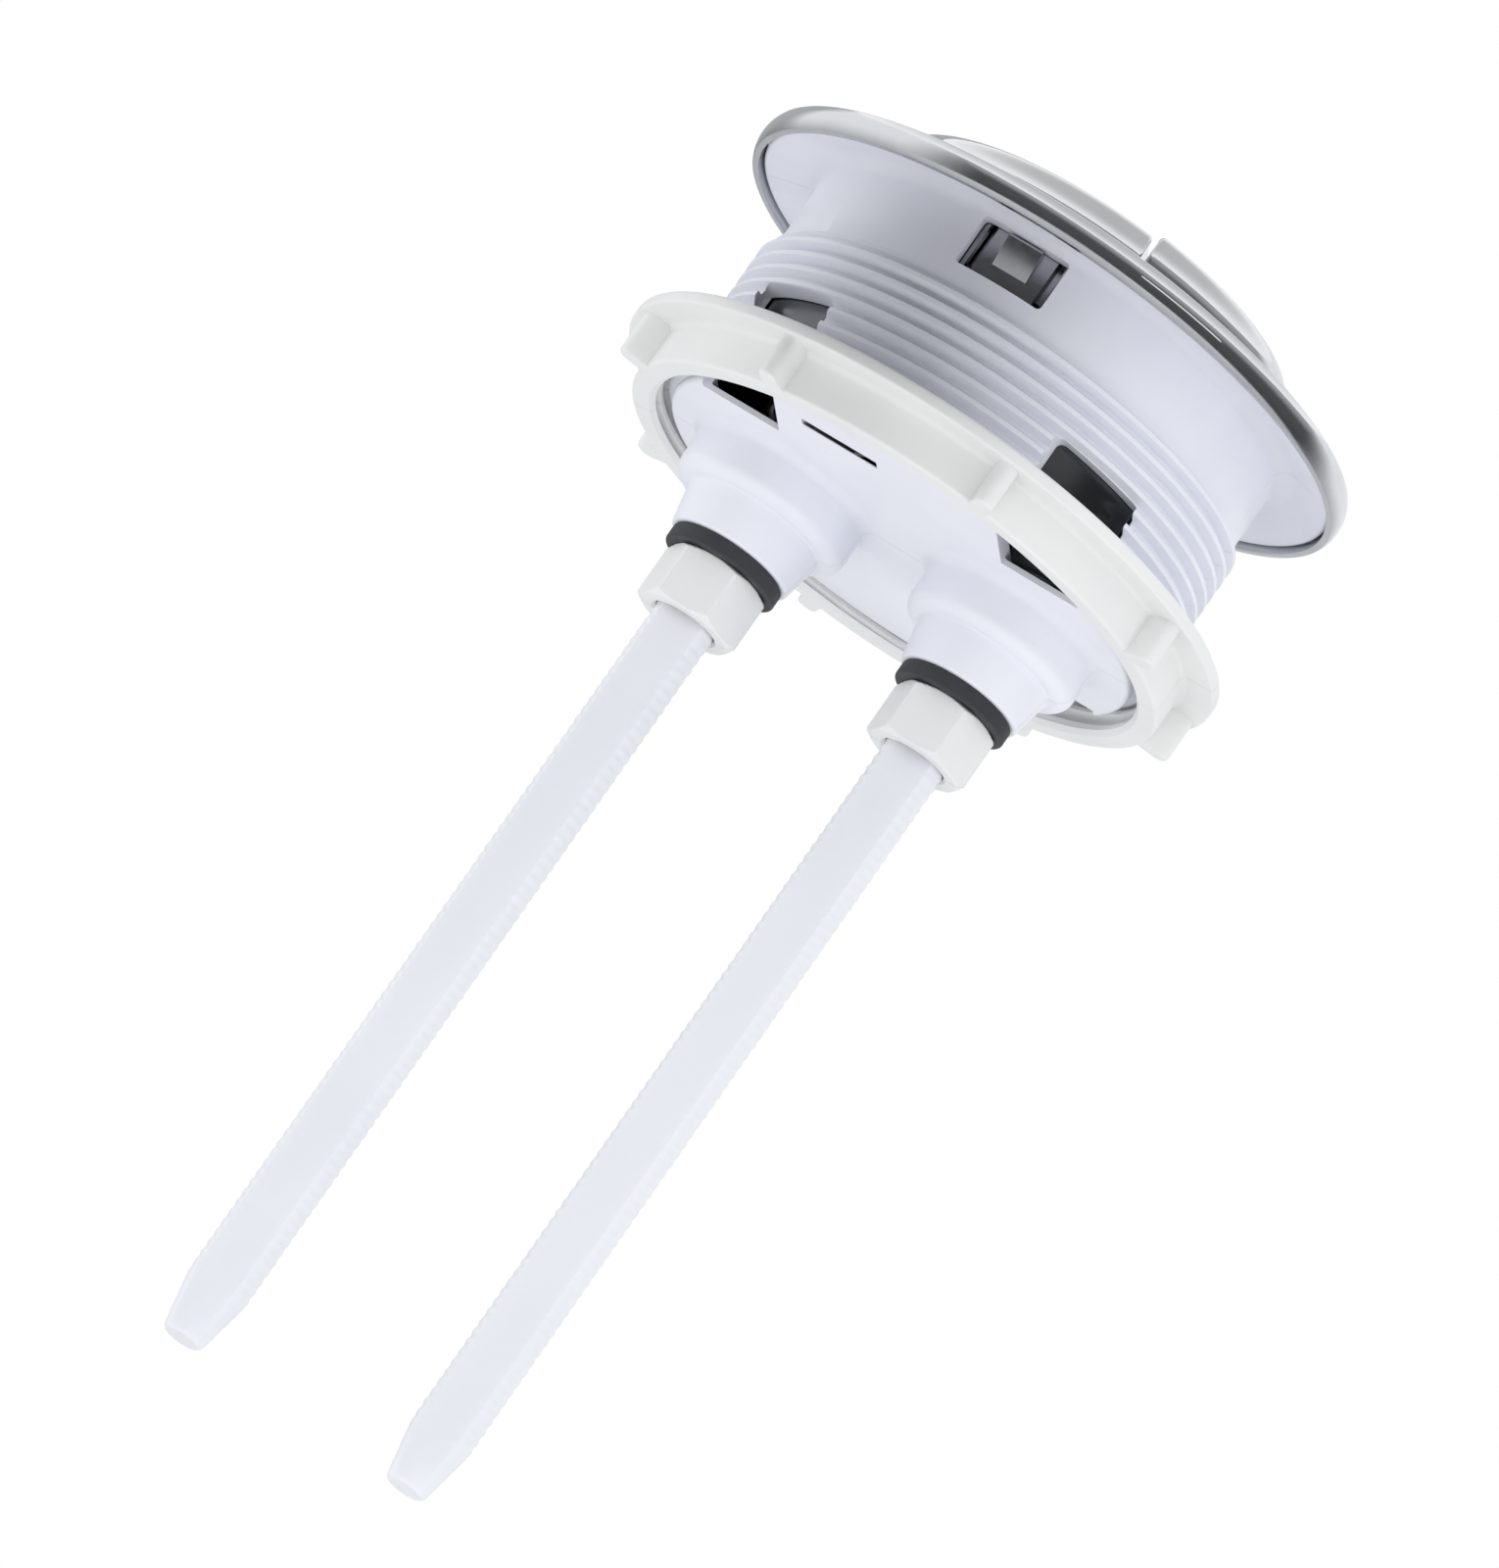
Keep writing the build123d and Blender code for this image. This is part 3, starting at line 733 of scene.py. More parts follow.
def barrel_shell(sizes, slope):
    """Flange, neck, threaded barrel and base as one turned shell.

    Rows run from the middle of the floor inside up the bore, over the flange, down the neck and the thread,
    and under the base to its middle. The thread's radius is root + depth times the ridge's share.
    """
    floor_edge, bore_edge, rim_edge, under_edge, base_edge = 0.6 * MM, 0.3 * MM, 0.25 * MM, 0.4 * MM, 0.5 * MM
    hub, base_ring, bore_ring, neck_rings = 5 * MM, 20 * MM, -12 * MM, (-2 * MM, -4 * MM)
    fillet_run, run_out = 2 * MM, 0.9 * MM
    angles = around(240)
    root = sizes.crest_radius - sizes.thread_depth
    base_low, thread_low = -sizes.depth, -sizes.depth + sizes.chamfer
    floor = base_low + sizes.base
    flange_top = slope_height(slope, sizes.flange_radius, sizes.flange_drop)
    fillet_start = root + sizes.neck_fillet
    under = slope_height(slope, fillet_start, sizes.flange_drop) - sizes.flange_thickness
    corner = slope_height(slope, root, sizes.flange_drop) - sizes.flange_thickness
    upper = rounded([
        (0, floor),
        (hub, floor),
        (sizes.bore, floor, floor_edge),
        (sizes.bore, bore_ring),
        (sizes.bore, slope_height(slope, sizes.bore, sizes.flange_drop), bore_edge),
        (sizes.flange_radius, flange_top, rim_edge),
        (sizes.flange_radius, flange_top - sizes.flange_thickness, under_edge),
        (fillet_start + fillet_run, under - fillet_run * (corner - under) / sizes.neck_fillet),
        (root, corner, sizes.neck_fillet),
        *((root, ring) for ring in neck_rings),
        (root, -sizes.neck_length),
    ], steps=8)
    lower = rounded([
        (root, thread_low), (root, base_low, base_edge),
        (base_ring, base_low), (hub, base_low), (0, base_low),
    ], steps=5)
    height, share = thread_rows(angles, -sizes.neck_length, thread_low, sizes.pitch, BARREL_RIDGE, run_out)
    radius, height = stack_rows(angles, upper.T, (root + sizes.thread_depth * share, height), lower.T)
    return turned(radius, height, angles), quads(*radius.shape)


def turret_shell(sizes, x):
    """Stepped turret with a filleted root and rounded shoulder, turned round its rod's axis."""
    sunk, margin, step_edge, foot_edge = 0.02 * MM, 0.3 * MM, 0.35 * MM, 0.45 * MM
    low = -sizes.depth
    shoulder = low - sizes.turret_height
    foot = shoulder - sizes.guide_length
    buried = low + sizes.base / 2
    skirt = sizes.turret_radius + sizes.root_fillet + margin
    return lathe(rounded([
        (0, buried),
        (skirt, buried),
        (skirt, low + sunk),
        (sizes.turret_radius, low + sunk, sizes.root_fillet),
        (sizes.turret_radius, shoulder, sizes.shoulder_round),
        (sizes.guide_top, shoulder, step_edge),
        (sizes.guide_tip, foot, foot_edge),
        (0, foot),
    ], steps=8), count=96, x=x)


def pocket_shell(sizes, x):
    """Hollow of a turret: the spring's pocket above and the plunger's bore below."""
    pocket_edge = 0.4 * MM
    shoulder = -sizes.depth - sizes.turret_height
    below = shoulder - sizes.guide_length - MM
    floor = shoulder + sizes.pocket_floor
    above = -sizes.depth + 2 * sizes.base
    return lathe(rounded([
        (0, below), (sizes.guide_bore, below), (sizes.guide_bore, floor),
        (sizes.pocket, floor, pocket_edge), (sizes.pocket, above), (0, above),
    ]), count=72, x=x)


def housing_cuts(sizes, x):
    """Shells to cut out of the housing: both pockets, and on each side a window, slots, thin lips and a slit.

    Each outline in XZ is carried along Y between two distances from the middle, to the front and to the back.
    A slot and its lip have their like across the middle. The slit has its like half a turn away.
    """
    window_edge, slot_edge, lip_edge = 0.5 * MM, 0.8 * MM, 0.3 * MM
    slit_round, thin_round, overlap = 0.3 * MM, 0.1 * MM, 0.2 * MM
    low, below, outside = -sizes.depth, -sizes.depth - 3 * sizes.base, sizes.flange_radius
    above, lip_top = low + 2 * sizes.base, low + 1.5 * sizes.base
    half, window_low = sizes.window_width / 2, sizes.window_top - sizes.window_height
    window = window_outline(-half, half, window_low, sizes.window_top, window_edge)
    like = [(window, sizes.bore / 2, outside)]
    slot = np.array((sizes.slot_inner, sizes.slot_inner + sizes.slot_width))
    lip = np.array((sizes.slot_inner, math.sqrt(sizes.bore**2 - sizes.slot_reach**2)))
    for slot_ends, lip_ends in ((slot, lip), (-slot[::-1], -lip[::-1])):
        opening = window_outline(*slot_ends, below, low + sizes.slot_height, slot_edge)
        like.append((opening, sizes.slot_reach, outside))
        thin = window_outline(*lip_ends, low + sizes.slot_lip, lip_top, lip_edge)
        like.append((thin, sizes.slot_reach - sizes.slot_lip_length, sizes.slot_reach + overlap))
    slit = sizes.slit_middle + np.array((-0.5, 0.5)) * sizes.slit_length
    near = sizes.slit_reach
    shells = [pocket_shell(sizes, side) for side in (-x, x)]
    for way, ends in ((-1, -slit[::-1]), (1, slit)):
        opening = window_outline(*ends, below, above, slit_round)
        thin = window_outline(*ends, low + sizes.slit_edge, above, thin_round)
        cuts = [
            *like, (opening, near, near + sizes.slit_width),
            (thin, near - sizes.slit_edge_length, near + overlap),
        ]
        shells += [bar(outline, *sorted((way * start, way * end))) for outline, start, end in cuts]
    return shells


class PUSHBUTTON_OT_housing(Operator):
    """Adds the white housing: flange, threaded barrel, windows, slots, base and turrets."""

    bl_idname = "push_button.add_housing"
    bl_label = "Add housing"

    def execute(self, context):
        sizes = context.scene.push_button_housing
        piece = solid("housing_barrel", barrel_shell(sizes, context.scene.push_button_bezel))
        x = sizes.rod_spacing / 2
        combine(piece, [solid("turret", turret_shell(sizes, side)) for side in (-x, x)], "UNION")
        combine(piece, [solid("cut", shell) for shell in housing_cuts(sizes, x)], "DIFFERENCE")
        dress(piece, "housing_white", "lid_unit", "white_plastic", "housing")
        return {"FINISHED"}


def lug_columns(sizes):
    """Angles of the ring's columns and the radius of its band or lug at each of them.

    A lug is a rectangle with rounded outer edges standing on the band; its outline's points become columns at
    atan2(across, out) with radius hypot(across, out).
    """
    half, tip = sizes.lug_width / 2, sizes.band + sizes.lug_reach
    foot = math.sqrt(sizes.band**2 - half**2)
    waist = foot + 0.5 * sizes.lug_reach
    across, out = rounded([
        (-half, foot), (-half, waist), (-half, tip, sizes.lug_round),
        (half, tip, sizes.lug_round), (half, waist), (half, foot),
    ], steps=5).T
    lug_angle = np.arctan2(across, out)
    step = FULL_TURN / sizes.lug_count
    plain = np.linspace(lug_angle[-1], step + lug_angle[0], 22)[1:-1]
    angles = np.concatenate([lug_angle, plain])
    radius = np.concatenate([np.hypot(across, out), np.full(len(plain), sizes.band)])
    angles = (angles + step * np.arange(sizes.lug_count)[:, None]).ravel() + sizes.first_lug - math.pi / 2
    return np.append(angles, angles[0] + FULL_TURN), np.append(np.tile(radius, sizes.lug_count), radius[0])


def lock_ring_shell(sizes, pitch):
    """Ring nut: threaded bore, band with lugs and a flange on top.

    The band's rows take the larger of their own radius and the lug's; the rows of its lower edge shift out
    with it.
    """
    entry, low_edge, flange_edge, run_out, slack = 0.5 * MM, 0.45 * MM, 0.35 * MM, 0.5 * MM, 0.01 * MM
    angles, lug = lug_columns(sizes)
    bottom, top = sizes.bottom, sizes.bottom + sizes.height
    under = top - sizes.flange_thickness
    outline = rounded([
        (sizes.bore, bottom + entry), (sizes.bore + entry, bottom), (sizes.band, bottom, low_edge),
        (sizes.band, under, sizes.root_fillet), (sizes.flange, under, flange_edge),
        (sizes.flange, top, sizes.edge_round), (sizes.bore + entry, top), (sizes.bore, top - entry),
    ], steps=7)
    radius, height = outline[:, :1], outline[:, 1:]
    on_edge = (height < bottom + low_edge + slack) & (radius > sizes.band - low_edge - slack)
    on_side = (height > bottom + low_edge - slack) & (height < under + SLIVER)
    on_band = on_side & (radius > sizes.band - SLIVER)
    radius = np.where(on_edge, radius + lug - sizes.band, np.where(on_band, np.maximum(radius, lug), radius))
    rows, share = thread_rows(angles, top - entry, bottom + entry, pitch, BARREL_RIDGE, run_out)
    radius, height = stack_rows(angles, (radius, height), (sizes.bore + sizes.thread_depth * share, rows))
    return turned(radius, height, angles), quads(*radius.shape, close_rows=True)


class PUSHBUTTON_OT_lock_ring(Operator):
    """Adds the lock ring with its flange, grip lugs and inner thread."""

    bl_idname = "push_button.add_lock_ring"
    bl_label = "Add lock ring"

    def execute(self, context):
        pitch = context.scene.push_button_housing.pitch
        piece = solid("lock_ring_nut", lock_ring_shell(context.scene.push_button_ring, pitch))
        dress(piece, "ring_white", "clamp_ring", "ring_plastic", "lock_ring")
        return {"FINISHED"}


def soften(path, spacing, reach):
    """Points of a closed path averaged with a bell curve of the given reach, through their frequencies."""
    bell = np.exp(-2 * (math.pi * reach / spacing * np.fft.fftfreq(len(path))) ** 2)
    return np.fft.ifft(np.fft.fft(path, axis=0) * bell[:, None], axis=0).real


def cap_rim(sizes, side, count=480):
    """Rim of a cap in plan: the buttons' circle on one side of the split and the split's own arc.

    Its points are evenly spaced along the two arcs, and the corners between them are softened.
    """
    corner_reach = 0.3 * MM
    reach = sizes.split_radius - side * sizes.split_gap / 2
    middle = sizes.split_offset + sizes.split_radius
    corner_x = (sizes.radius**2 + middle**2 - reach**2) / (2 * middle)
    corner_y = math.sqrt(sizes.radius**2 - corner_x**2)
    edge, split = math.atan2(corner_y, corner_x), math.asin(corner_y / reach)
    turn = np.linspace(-edge, edge, 600) if side > 0 else np.linspace(edge, FULL_TURN - edge, 900)
    back = np.linspace(side * split, -side * split, 400)
    path = np.concatenate([
        np.stack([sizes.radius * np.cos(turn), sizes.radius * np.sin(turn)], axis=-1),
        np.stack([middle - reach * np.cos(back), reach * np.sin(back)], axis=-1)[1:],
    ])
    steps = np.linalg.norm(np.diff(path, axis=0), axis=1)
    along = np.concatenate([[0], np.cumsum(steps)])
    even = np.linspace(0, along[-1], count, endpoint=False)
    rim = np.stack([np.interp(even, along, path[:, axis]) for axis in (0, 1)], axis=-1)
    return soften(rim, along[-1] / count, corner_reach)


def cap_height(sizes, side, rise, spots):
    """Height of a cap's top over points in plan.

    At radius r the dome is edge + crown (1 - r r / f f) with f = R - p, and past the point where their slopes
    agree it is an arc of the edge's rounding p about (f, c). Within the split's rounding q, a point at
    distance d from the split is lower by q - sqrt(q q - (q - d)^2).
    """
    p, q, flat = sizes.edge_round, sizes.split_round, sizes.radius - sizes.edge_round
    lean = math.atan(2 * sizes.crown / flat)
    start = flat + p * math.sin(lean)
    edge = sizes.edge_height + rise
    centre = edge + sizes.crown * (1 - (start / flat) ** 2) - p * math.cos(lean)
    radius = np.linalg.norm(spots, axis=-1)
    dome = edge + sizes.crown * (1 - (radius / flat) ** 2)
    arc = centre + np.sqrt(np.clip(p**2 - (radius - flat) ** 2, 0, None))
    reach = sizes.split_radius - side * sizes.split_gap / 2
    off = side * (reach - np.hypot(spots[..., 0] - sizes.split_offset - sizes.split_radius, spots[..., 1]))
    inset = np.clip(q - off, 0, q)
    return np.where(radius < start, dome, arc) - q + np.sqrt(q**2 - inset**2)


def rib_outline(inner, outer, low, top, cut):
    """Outline of a rib between two ends, its outer upper corner cut off under the cap's rounded edge."""
    back = outer - math.copysign(cut, outer - inner)
    return np.array([(inner, low), (outer, low), (outer, top - cut), (back, top), (inner, top)])


def cap_shells(sizes, side, rise, rod_x):
    """Domed cap on one side of the split, hollow below, with the plunger's socket and three ribs.

    Every row is the rim in plan, drawn in towards the middle by a share. Outside, the shares go as 1 - cos f
    near the rim, so that the upright tangent of the rounded edge is met evenly.
    """
    rim = cap_rim(sizes, side)
    middle = rim.mean(axis=0)

    def row(spot, height):
        return np.column_stack([spot, np.broadcast_to(height, len(spot))])

    def top(spot):
        return cap_height(sizes, side, rise, spot)

    inside = middle + (rim - middle) * (1 - sizes.wall / np.linalg.norm(rim - middle, axis=1).mean())
    ceiling = [middle + (inside - middle) * share for share in np.linspace(0, 1, 9)[:-1]]
    rows = [row(spot, top(spot) - sizes.wall) for spot in ceiling]
    edge = top(rim)
    rows += [row(inside, edge - sizes.wall / 2), row(inside, -sizes.skirt), row(rim, -sizes.skirt)]
    rows += [row(rim, -sizes.skirt + (edge + sizes.skirt) * share) for share in (0.35, 0.7, 0.9)]
    fine = 0.45
    near = fine * (1 - np.cos(np.linspace(0, math.pi / 2, 25)))
    drawn = np.concatenate([near, np.linspace(fine, 1, 10)[1:]])
    rows += [row(spot, top(spot)) for spot in middle + (rim - middle) * (1 - drawn)[:, None, None]]
    cap = np.stack(rows), quads(len(rows), len(rim), close_columns=True)

    x = side * rod_x
    roof = sizes.edge_height + 0.2 * MM
    socket_top, rib_low, rib_top = roof - 0.6 * MM, -sizes.skirt + 1.4 * MM, roof - 1.6 * MM
    socket = lathe(np.array([
        (sizes.spigot, -sizes.skirt), (sizes.socket, -sizes.skirt),
        (sizes.socket, socket_top), (sizes.spigot, socket_top),
    ]), count=48, x=x, closed=True)
    rib_root, half = sizes.socket - MM, sizes.rib / 2
    side_end, cross_end = sizes.radius - 0.8 * MM, math.sqrt(sizes.radius**2 - x**2) - 0.9 * MM
    upright = rib_low, rib_top, sizes.edge_round
    ribs = [bar(rib_outline(x + side * rib_root, side * side_end, *upright), -half, half)]
    for way in (-1, 1):
        outline = rib_outline(way * rib_root, way * cross_end, *upright)
        ribs.append(bar(outline, x - half, x + half, turn=True))
    return cap, socket, *ribs


class PUSHBUTTON_OT_buttons(Operator):
    """Adds the full flush and half flush caps on either side of their split."""

    bl_idname = "push_button.add_buttons"
    bl_label = "Add buttons"

    def execute(self, context):
        sizes = context.scene.push_button_caps
        rod_x = context.scene.push_button_housing.rod_spacing / 2
        for flush, (side, _) in FLUSHES.items():
            rise = sizes.half_rise if side > 0 else 0.0
            piece = solid(f"{flush}_cap", *cap_shells(sizes, side, rise, rod_x), sharp=50)
            dress(piece, "chrome_plating", flush, "chrome", f"{flush}_button")
        return {"FINISHED"}


def plunger_shell(sizes, x):
    """Plunger: spigot, head and stem outside, the rod's socket inside, turned round its axis."""
    spigot_tip, spigot_root, head_edge, stem_root = 0.5 * MM, 0.3 * MM, 0.4 * MM, 0.5 * MM
    foot_edge, socket_edge = 0.2 * MM, 0.15 * MM
    tip, head_low = sizes.head_top + sizes.spigot_length, sizes.head_top - sizes.head_thickness
    return lathe(rounded([
        (0, tip),
        (sizes.spigot, tip, spigot_tip),
        (sizes.spigot, sizes.head_top, spigot_root),
        (sizes.head, sizes.head_top, head_edge),
        (sizes.head, head_low, head_edge),
        (sizes.stem, head_low, stem_root),
        (sizes.stem, sizes.foot, foot_edge),
        (sizes.socket, sizes.foot, socket_edge),
        (sizes.socket, sizes.foot + sizes.socket_depth),
        (0, sizes.foot + sizes.socket_depth),
    ]), count=64, x=x)


def spring_shell(sizes, x, low, high, steps=40, sides=14):
    """Coil spring with closed ends: a circle of the wire carried round the axis.

    The wire's middle is at (R cos a, R sin a, z), where z climbs by one wire a turn in the first and last
    turn and evenly between. The first and last circles shrink to a point.
    """
    wire = sizes.spring_wire / 2
    turns = sizes.spring_turns
    turn = np.linspace(0, turns, int(turns * steps) + 1)
    ends = np.array((low + wire, low + 3 * wire, high - 3 * wire, high - wire))
    climb = np.interp(turn, (0, 1, turns - 1, turns), ends)
    width = np.pad(np.full(len(turn), wire), 1)[:, None]
    turn, climb = np.pad(turn, 1, mode="edge")[:, None], np.pad(climb, 1, mode="edge")[:, None]
    ring = np.linspace(0, FULL_TURN, sides, endpoint=False)
    radius, height = sizes.spring_radius + width * np.cos(ring), climb + width * np.sin(ring)
    return turned(radius, height, turn * FULL_TURN, x), quads(*height.shape, close_columns=True)


class PUSHBUTTON_OT_plungers(Operator):
    """Adds the two plungers and their return springs."""

    bl_idname = "push_button.add_plungers"
    bl_label = "Add plungers and springs"

    def execute(self, context):
        sizes = context.scene.push_button_plungers
        for flush, (side, joint) in FLUSHES.items():
            x = side * context.scene.push_button_housing.rod_spacing / 2
            stem = solid(f"{flush}_stem", plunger_shell(sizes, x))
            dress(stem, "housing_white", flush, "white_plastic", f"{flush}_plunger")
            low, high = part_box(f"{flush}_spring")
            coil = solid(f"{flush}_coil", spring_shell(sizes, x, low[2], high[2]), sharp=60)
            dress(coil, "spring_steel", "lid_unit", "spring_steel", f"{flush}_spring")
            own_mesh(coil)
        return {"FINISHED"}


def rod_shell(sizes, x, low, high, thread_top):
    """Push rod: plain in its socket, threaded below, tapered at the tip and flattened at front and back.

    Radius follows the thread's ridges and the taper; y is then held within half the distance of the flats.
    """
    top_edge, end_edge, run_out = 0.3 * MM, 0.15 * MM, 1.0 * MM
    angles = around(56)
    root, taper = sizes.radius - sizes.thread_depth, low + sizes.taper
    upper = rounded([(0, high), (root, high, top_edge), (root, thread_top)])
    rows, share = thread_rows(angles, thread_top, taper, sizes.pitch, ROD_RIDGE, run_out)
    lower = rounded([
        (root, taper), (sizes.tip_radius, low + sizes.tip_round / 2, sizes.tip_round),
        (sizes.tip_radius - 0.6 * sizes.tip_round, low, end_edge), (0, low),
    ])
    radius, height = stack_rows(angles, upper.T, (root + sizes.thread_depth * share, rows), lower.T)
    points = turned(radius, height, angles, x)
    points[..., 1] = np.clip(points[..., 1], -sizes.flats / 2, sizes.flats / 2)
    return points, quads(*radius.shape)


class PUSHBUTTON_OT_rods(Operator):
    """Adds the two threaded push rods."""

    bl_idname = "push_button.add_rods"
    bl_label = "Add push rods"

    def execute(self, context):
        sizes = context.scene.push_button_rods
        thread_in_nut = 3 * MM
        for flush in FLUSHES:
            low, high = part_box(f"{flush}_rod")
            nut_low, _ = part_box(f"{flush}_lock_nut")
            x = (low[0] + high[0]) / 2
            shell = rod_shell(sizes, x, low[2], high[2], nut_low[2] + thread_in_nut)
            piece = solid(f"{flush}_push_rod", shell)
            dress(piece, "rod_nylon", flush, "rod_plastic", f"{flush}_rod")
        return {"FINISHED"}


def nut_shell(sizes, x, low, high):
    """Hexagon lock nut with flats at front and back and its corners turned off at both ends.

    The hexagon's radius at angle a is (flats / 2) / cos(a mod 60 - 30 degrees), held under a cone that opens
    by 1.7 times the distance from each end and under slightly rounded corners.
    """
    corner_cut, cone_inset, cone_slope, entry = 0.12 * MM, 0.1 * MM, 1.7, 0.35 * MM
    angles = around(180)
    half = sizes.nut_flats / 2
    hexagon = half / np.cos(np.mod(angles, math.pi / 3) - math.pi / 6)
    hexagon = np.minimum(hexagon, hexagon.max() - corner_cut)
    drop = np.array((0.0, 0.12, 0.25, 0.4, 0.55, 0.8)) * MM
    upper = np.minimum(hexagon, (half - cone_inset + cone_slope * drop)[:, None])
    bore_end = np.array((sizes.nut_bore + entry, sizes.nut_bore))
    radius, height = stack_rows(
        angles,
        (bore_end[:1], np.array((high,))), (upper, high - drop), (upper[::-1], low + drop[::-1]),
        (bore_end, np.array((low, low + entry))), (bore_end[1:], np.array((high - entry,))),
    )
    return turned(radius, height, angles, x), quads(*radius.shape, close_rows=True)


def washer_shell(sizes, x, low, high, outside):
    """Rubber washer: a rectangle with rounded corners turned round its rod's axis."""
    bore, bore_edge = sizes.washer_bore, 0.15 * MM
    section = rounded_loop(
        (bore, (low + high) / 2), (bore, low, bore_edge), (outside, low, sizes.washer_round),
        (outside, high, sizes.washer_round), (bore, high, bore_edge),
    )
    return lathe(section, count=72, x=x, closed=True)


class PUSHBUTTON_OT_nuts(Operator):
    """Adds the hexagon lock nuts and the rubber washers above them."""

    bl_idname = "push_button.add_nuts"
    bl_label = "Add nuts and washers"

    def execute(self, context):
        sizes = context.scene.push_button_rods
        for flush in FLUSHES:
            low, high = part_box(f"{flush}_lock_nut")
            x = (low[0] + high[0]) / 2
            nut = solid(f"{flush}_hex_nut", nut_shell(sizes, x, low[2], high[2]), sharp=25)
            dress(nut, "ring_white", flush, "ring_plastic", f"{flush}_lock_nut")
            low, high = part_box(f"{flush}_washer")
            outside = (high[0] - low[0]) / 2
            washer = solid(f"{flush}_rubber_ring", washer_shell(sizes, x, low[2], high[2], outside))
            dress(washer, "washer_rubber", flush, "black_rubber", f"{flush}_washer")
        return {"FINISHED"}


def camera_axes(studio):
    """Right, down, forward and level right directions of the camera for its azimuth, elevation and roll."""
    turn, rise, roll = studio.azimuth, studio.elevation, studio.roll
    ahead = Vector((math.sin(turn) * math.cos(rise), math.cos(turn) * math.cos(rise), -math.sin(rise)))
    level = Vector((math.cos(turn), -math.sin(turn), 0))
    below = ahead.cross(level)
    right = math.cos(roll) * level + math.sin(roll) * below
    down = -math.sin(roll) * level + math.cos(roll) * below
    return right, down, ahead, level


def add_camera(studio, right, down, ahead):
    """Camera that shows the middle of the seat at its pixel, with the given number of pixels to a metre."""
    across, along = IMAGE_WIDTH / 2 - studio.origin[0], IMAGE_HEIGHT / 2 - studio.origin[1]
    middle = right * (across / studio.scale) + down * (along / studio.scale)
    view = bpy.data.cameras.new("photo_camera")
    camera = bpy.data.objects.new("photo_camera", view)
    bpy.context.scene.collection.objects.link(camera)
    axes = Matrix((right, -down, -ahead)).transposed().to_4x4()
    camera.matrix_world = Matrix.Translation(middle - ahead * studio.distance) @ axes
    view.sensor_width = SENSOR
    view.lens = studio.scale * studio.distance * SENSOR / IMAGE_HEIGHT
    view.clip_start, view.clip_end = 0.05, 40
    bpy.context.scene.camera = camera


def add_lamp(name, place, size, power, colour):
    """Square soft lamp at a place, turned to the part and left out of reflections."""
    lamp = bpy.data.lights.new(name, "AREA")
    lamp.shape = "SQUARE"
    lamp.size, lamp.energy, lamp.color = size, power, colour
    item = bpy.data.objects.new(name, lamp)
    item.location = place
    item.rotation_euler = (LAMP_TARGET - place).to_track_quat("-Z", "Y").to_euler()
    item.visible_glossy = False
    bpy.context.scene.collection.objects.link(item)


def add_card(name, material, radius, height, angles, missed_by):
    """Studio card turned from two rows of (radius, height), missed by some kinds of ray."""
    card = solid(name, (turned(radius, height, angles), quads(2, len(angles))))
    card.data.materials.append(material)
    for ray in missed_by:
        setattr(card, f"visible_{ray}", False)
    return card


def plain_finish(name, level, roughness=1.0):
    """Material of the stage in one plain grey."""
    return new_material(name, {"Base Color": (level, level, level, 1.0), "Roughness": roughness})[0]


def lit_finish(name, strength):
    """Material of a studio card that shines with an even white light."""
    return new_material(name, {
        "Base Color": (0, 0, 0, 1), "Roughness": 1.0, "Specular IOR Level": 0.0,
        "Emission Color": (1, 1, 1, 1), "Emission Strength": strength,
    })[0]


def sky_finish():
    """Material of the overhead card: light grey in the middle and nearly white at its edge."""
    material = lit_finish("overhead_card", 1.0)
    tree = material.node_tree
    off = tree.nodes.new("ShaderNodeVectorMath")
    off.operation = "LENGTH"
    tree.links.new(position(tree), off.inputs[0])
    tone = spread(tree, off.outputs["Value"], 3.2, 4.7, 0.56, 0.95)
    tree.links.new(tone, tree.nodes["Principled BSDF"].inputs["Emission Color"])
    return material


def band_finish(darkest):
    """Material of the band round the studio: dark on one side, lighter at its top, its ends and behind."""
    material, tree, shader = new_material("dark_band", {"Roughness": 1.0})
    along = tree.nodes.new("ShaderNodeVectorMath")
    along.operation = "DOT_PRODUCT"
    along.inputs[1].default_value = darkest
    tree.links.new(position(tree), along.inputs[0])
    sides = spread(tree, along.outputs["Value"], -1.1, 1.2, 0.85, 0.0)
    behind = spread(tree, along.outputs["Value"], -3.55, -3.2, 0.45, 1.0)
    top = spread(tree, position_along(tree, "Z"), 0.9, 2.3, 0.0, 0.3)
    light = calc(tree, "MAXIMUM", calc(tree, "MULTIPLY", sides, behind), top)
    tree.links.new(calc(tree, "ADD", light, 0.08), shader.inputs["Base Color"])
    return material


def light_world(ambient):
    """White surroundings for what is seen directly or in a reflection, and a softer light from all sides."""
    world = bpy.data.worlds.new("studio_surroundings")
    bpy.context.scene.world = world
    world.use_nodes = True
    tree = world.node_tree
    tree.nodes.clear()
    path = tree.nodes.new("ShaderNodeLightPath")
    seen = calc(tree, "MAXIMUM", path.outputs["Is Camera Ray"], path.outputs["Is Glossy Ray"])
    seen = calc(tree, "MAXIMUM", seen, path.outputs["Is Transmission Ray"])
    white, soft = tree.nodes.new("ShaderNodeBackground"), tree.nodes.new("ShaderNodeBackground")
    white.inputs["Color"].default_value = (1, 1, 1, 1)
    soft.inputs["Color"].default_value = (0.97, 0.98, 1.0, 1)
    soft.inputs["Strength"].default_value = ambient
    mix, result = tree.nodes.new("ShaderNodeMixShader"), tree.nodes.new("ShaderNodeOutputWorld")
    tree.links.new(seen, mix.inputs["Fac"])
    tree.links.new(soft.outputs[0], mix.inputs[1])
    tree.links.new(white.outputs[0], mix.inputs[2])
    tree.links.new(mix.outputs[0], result.inputs["Surface"])


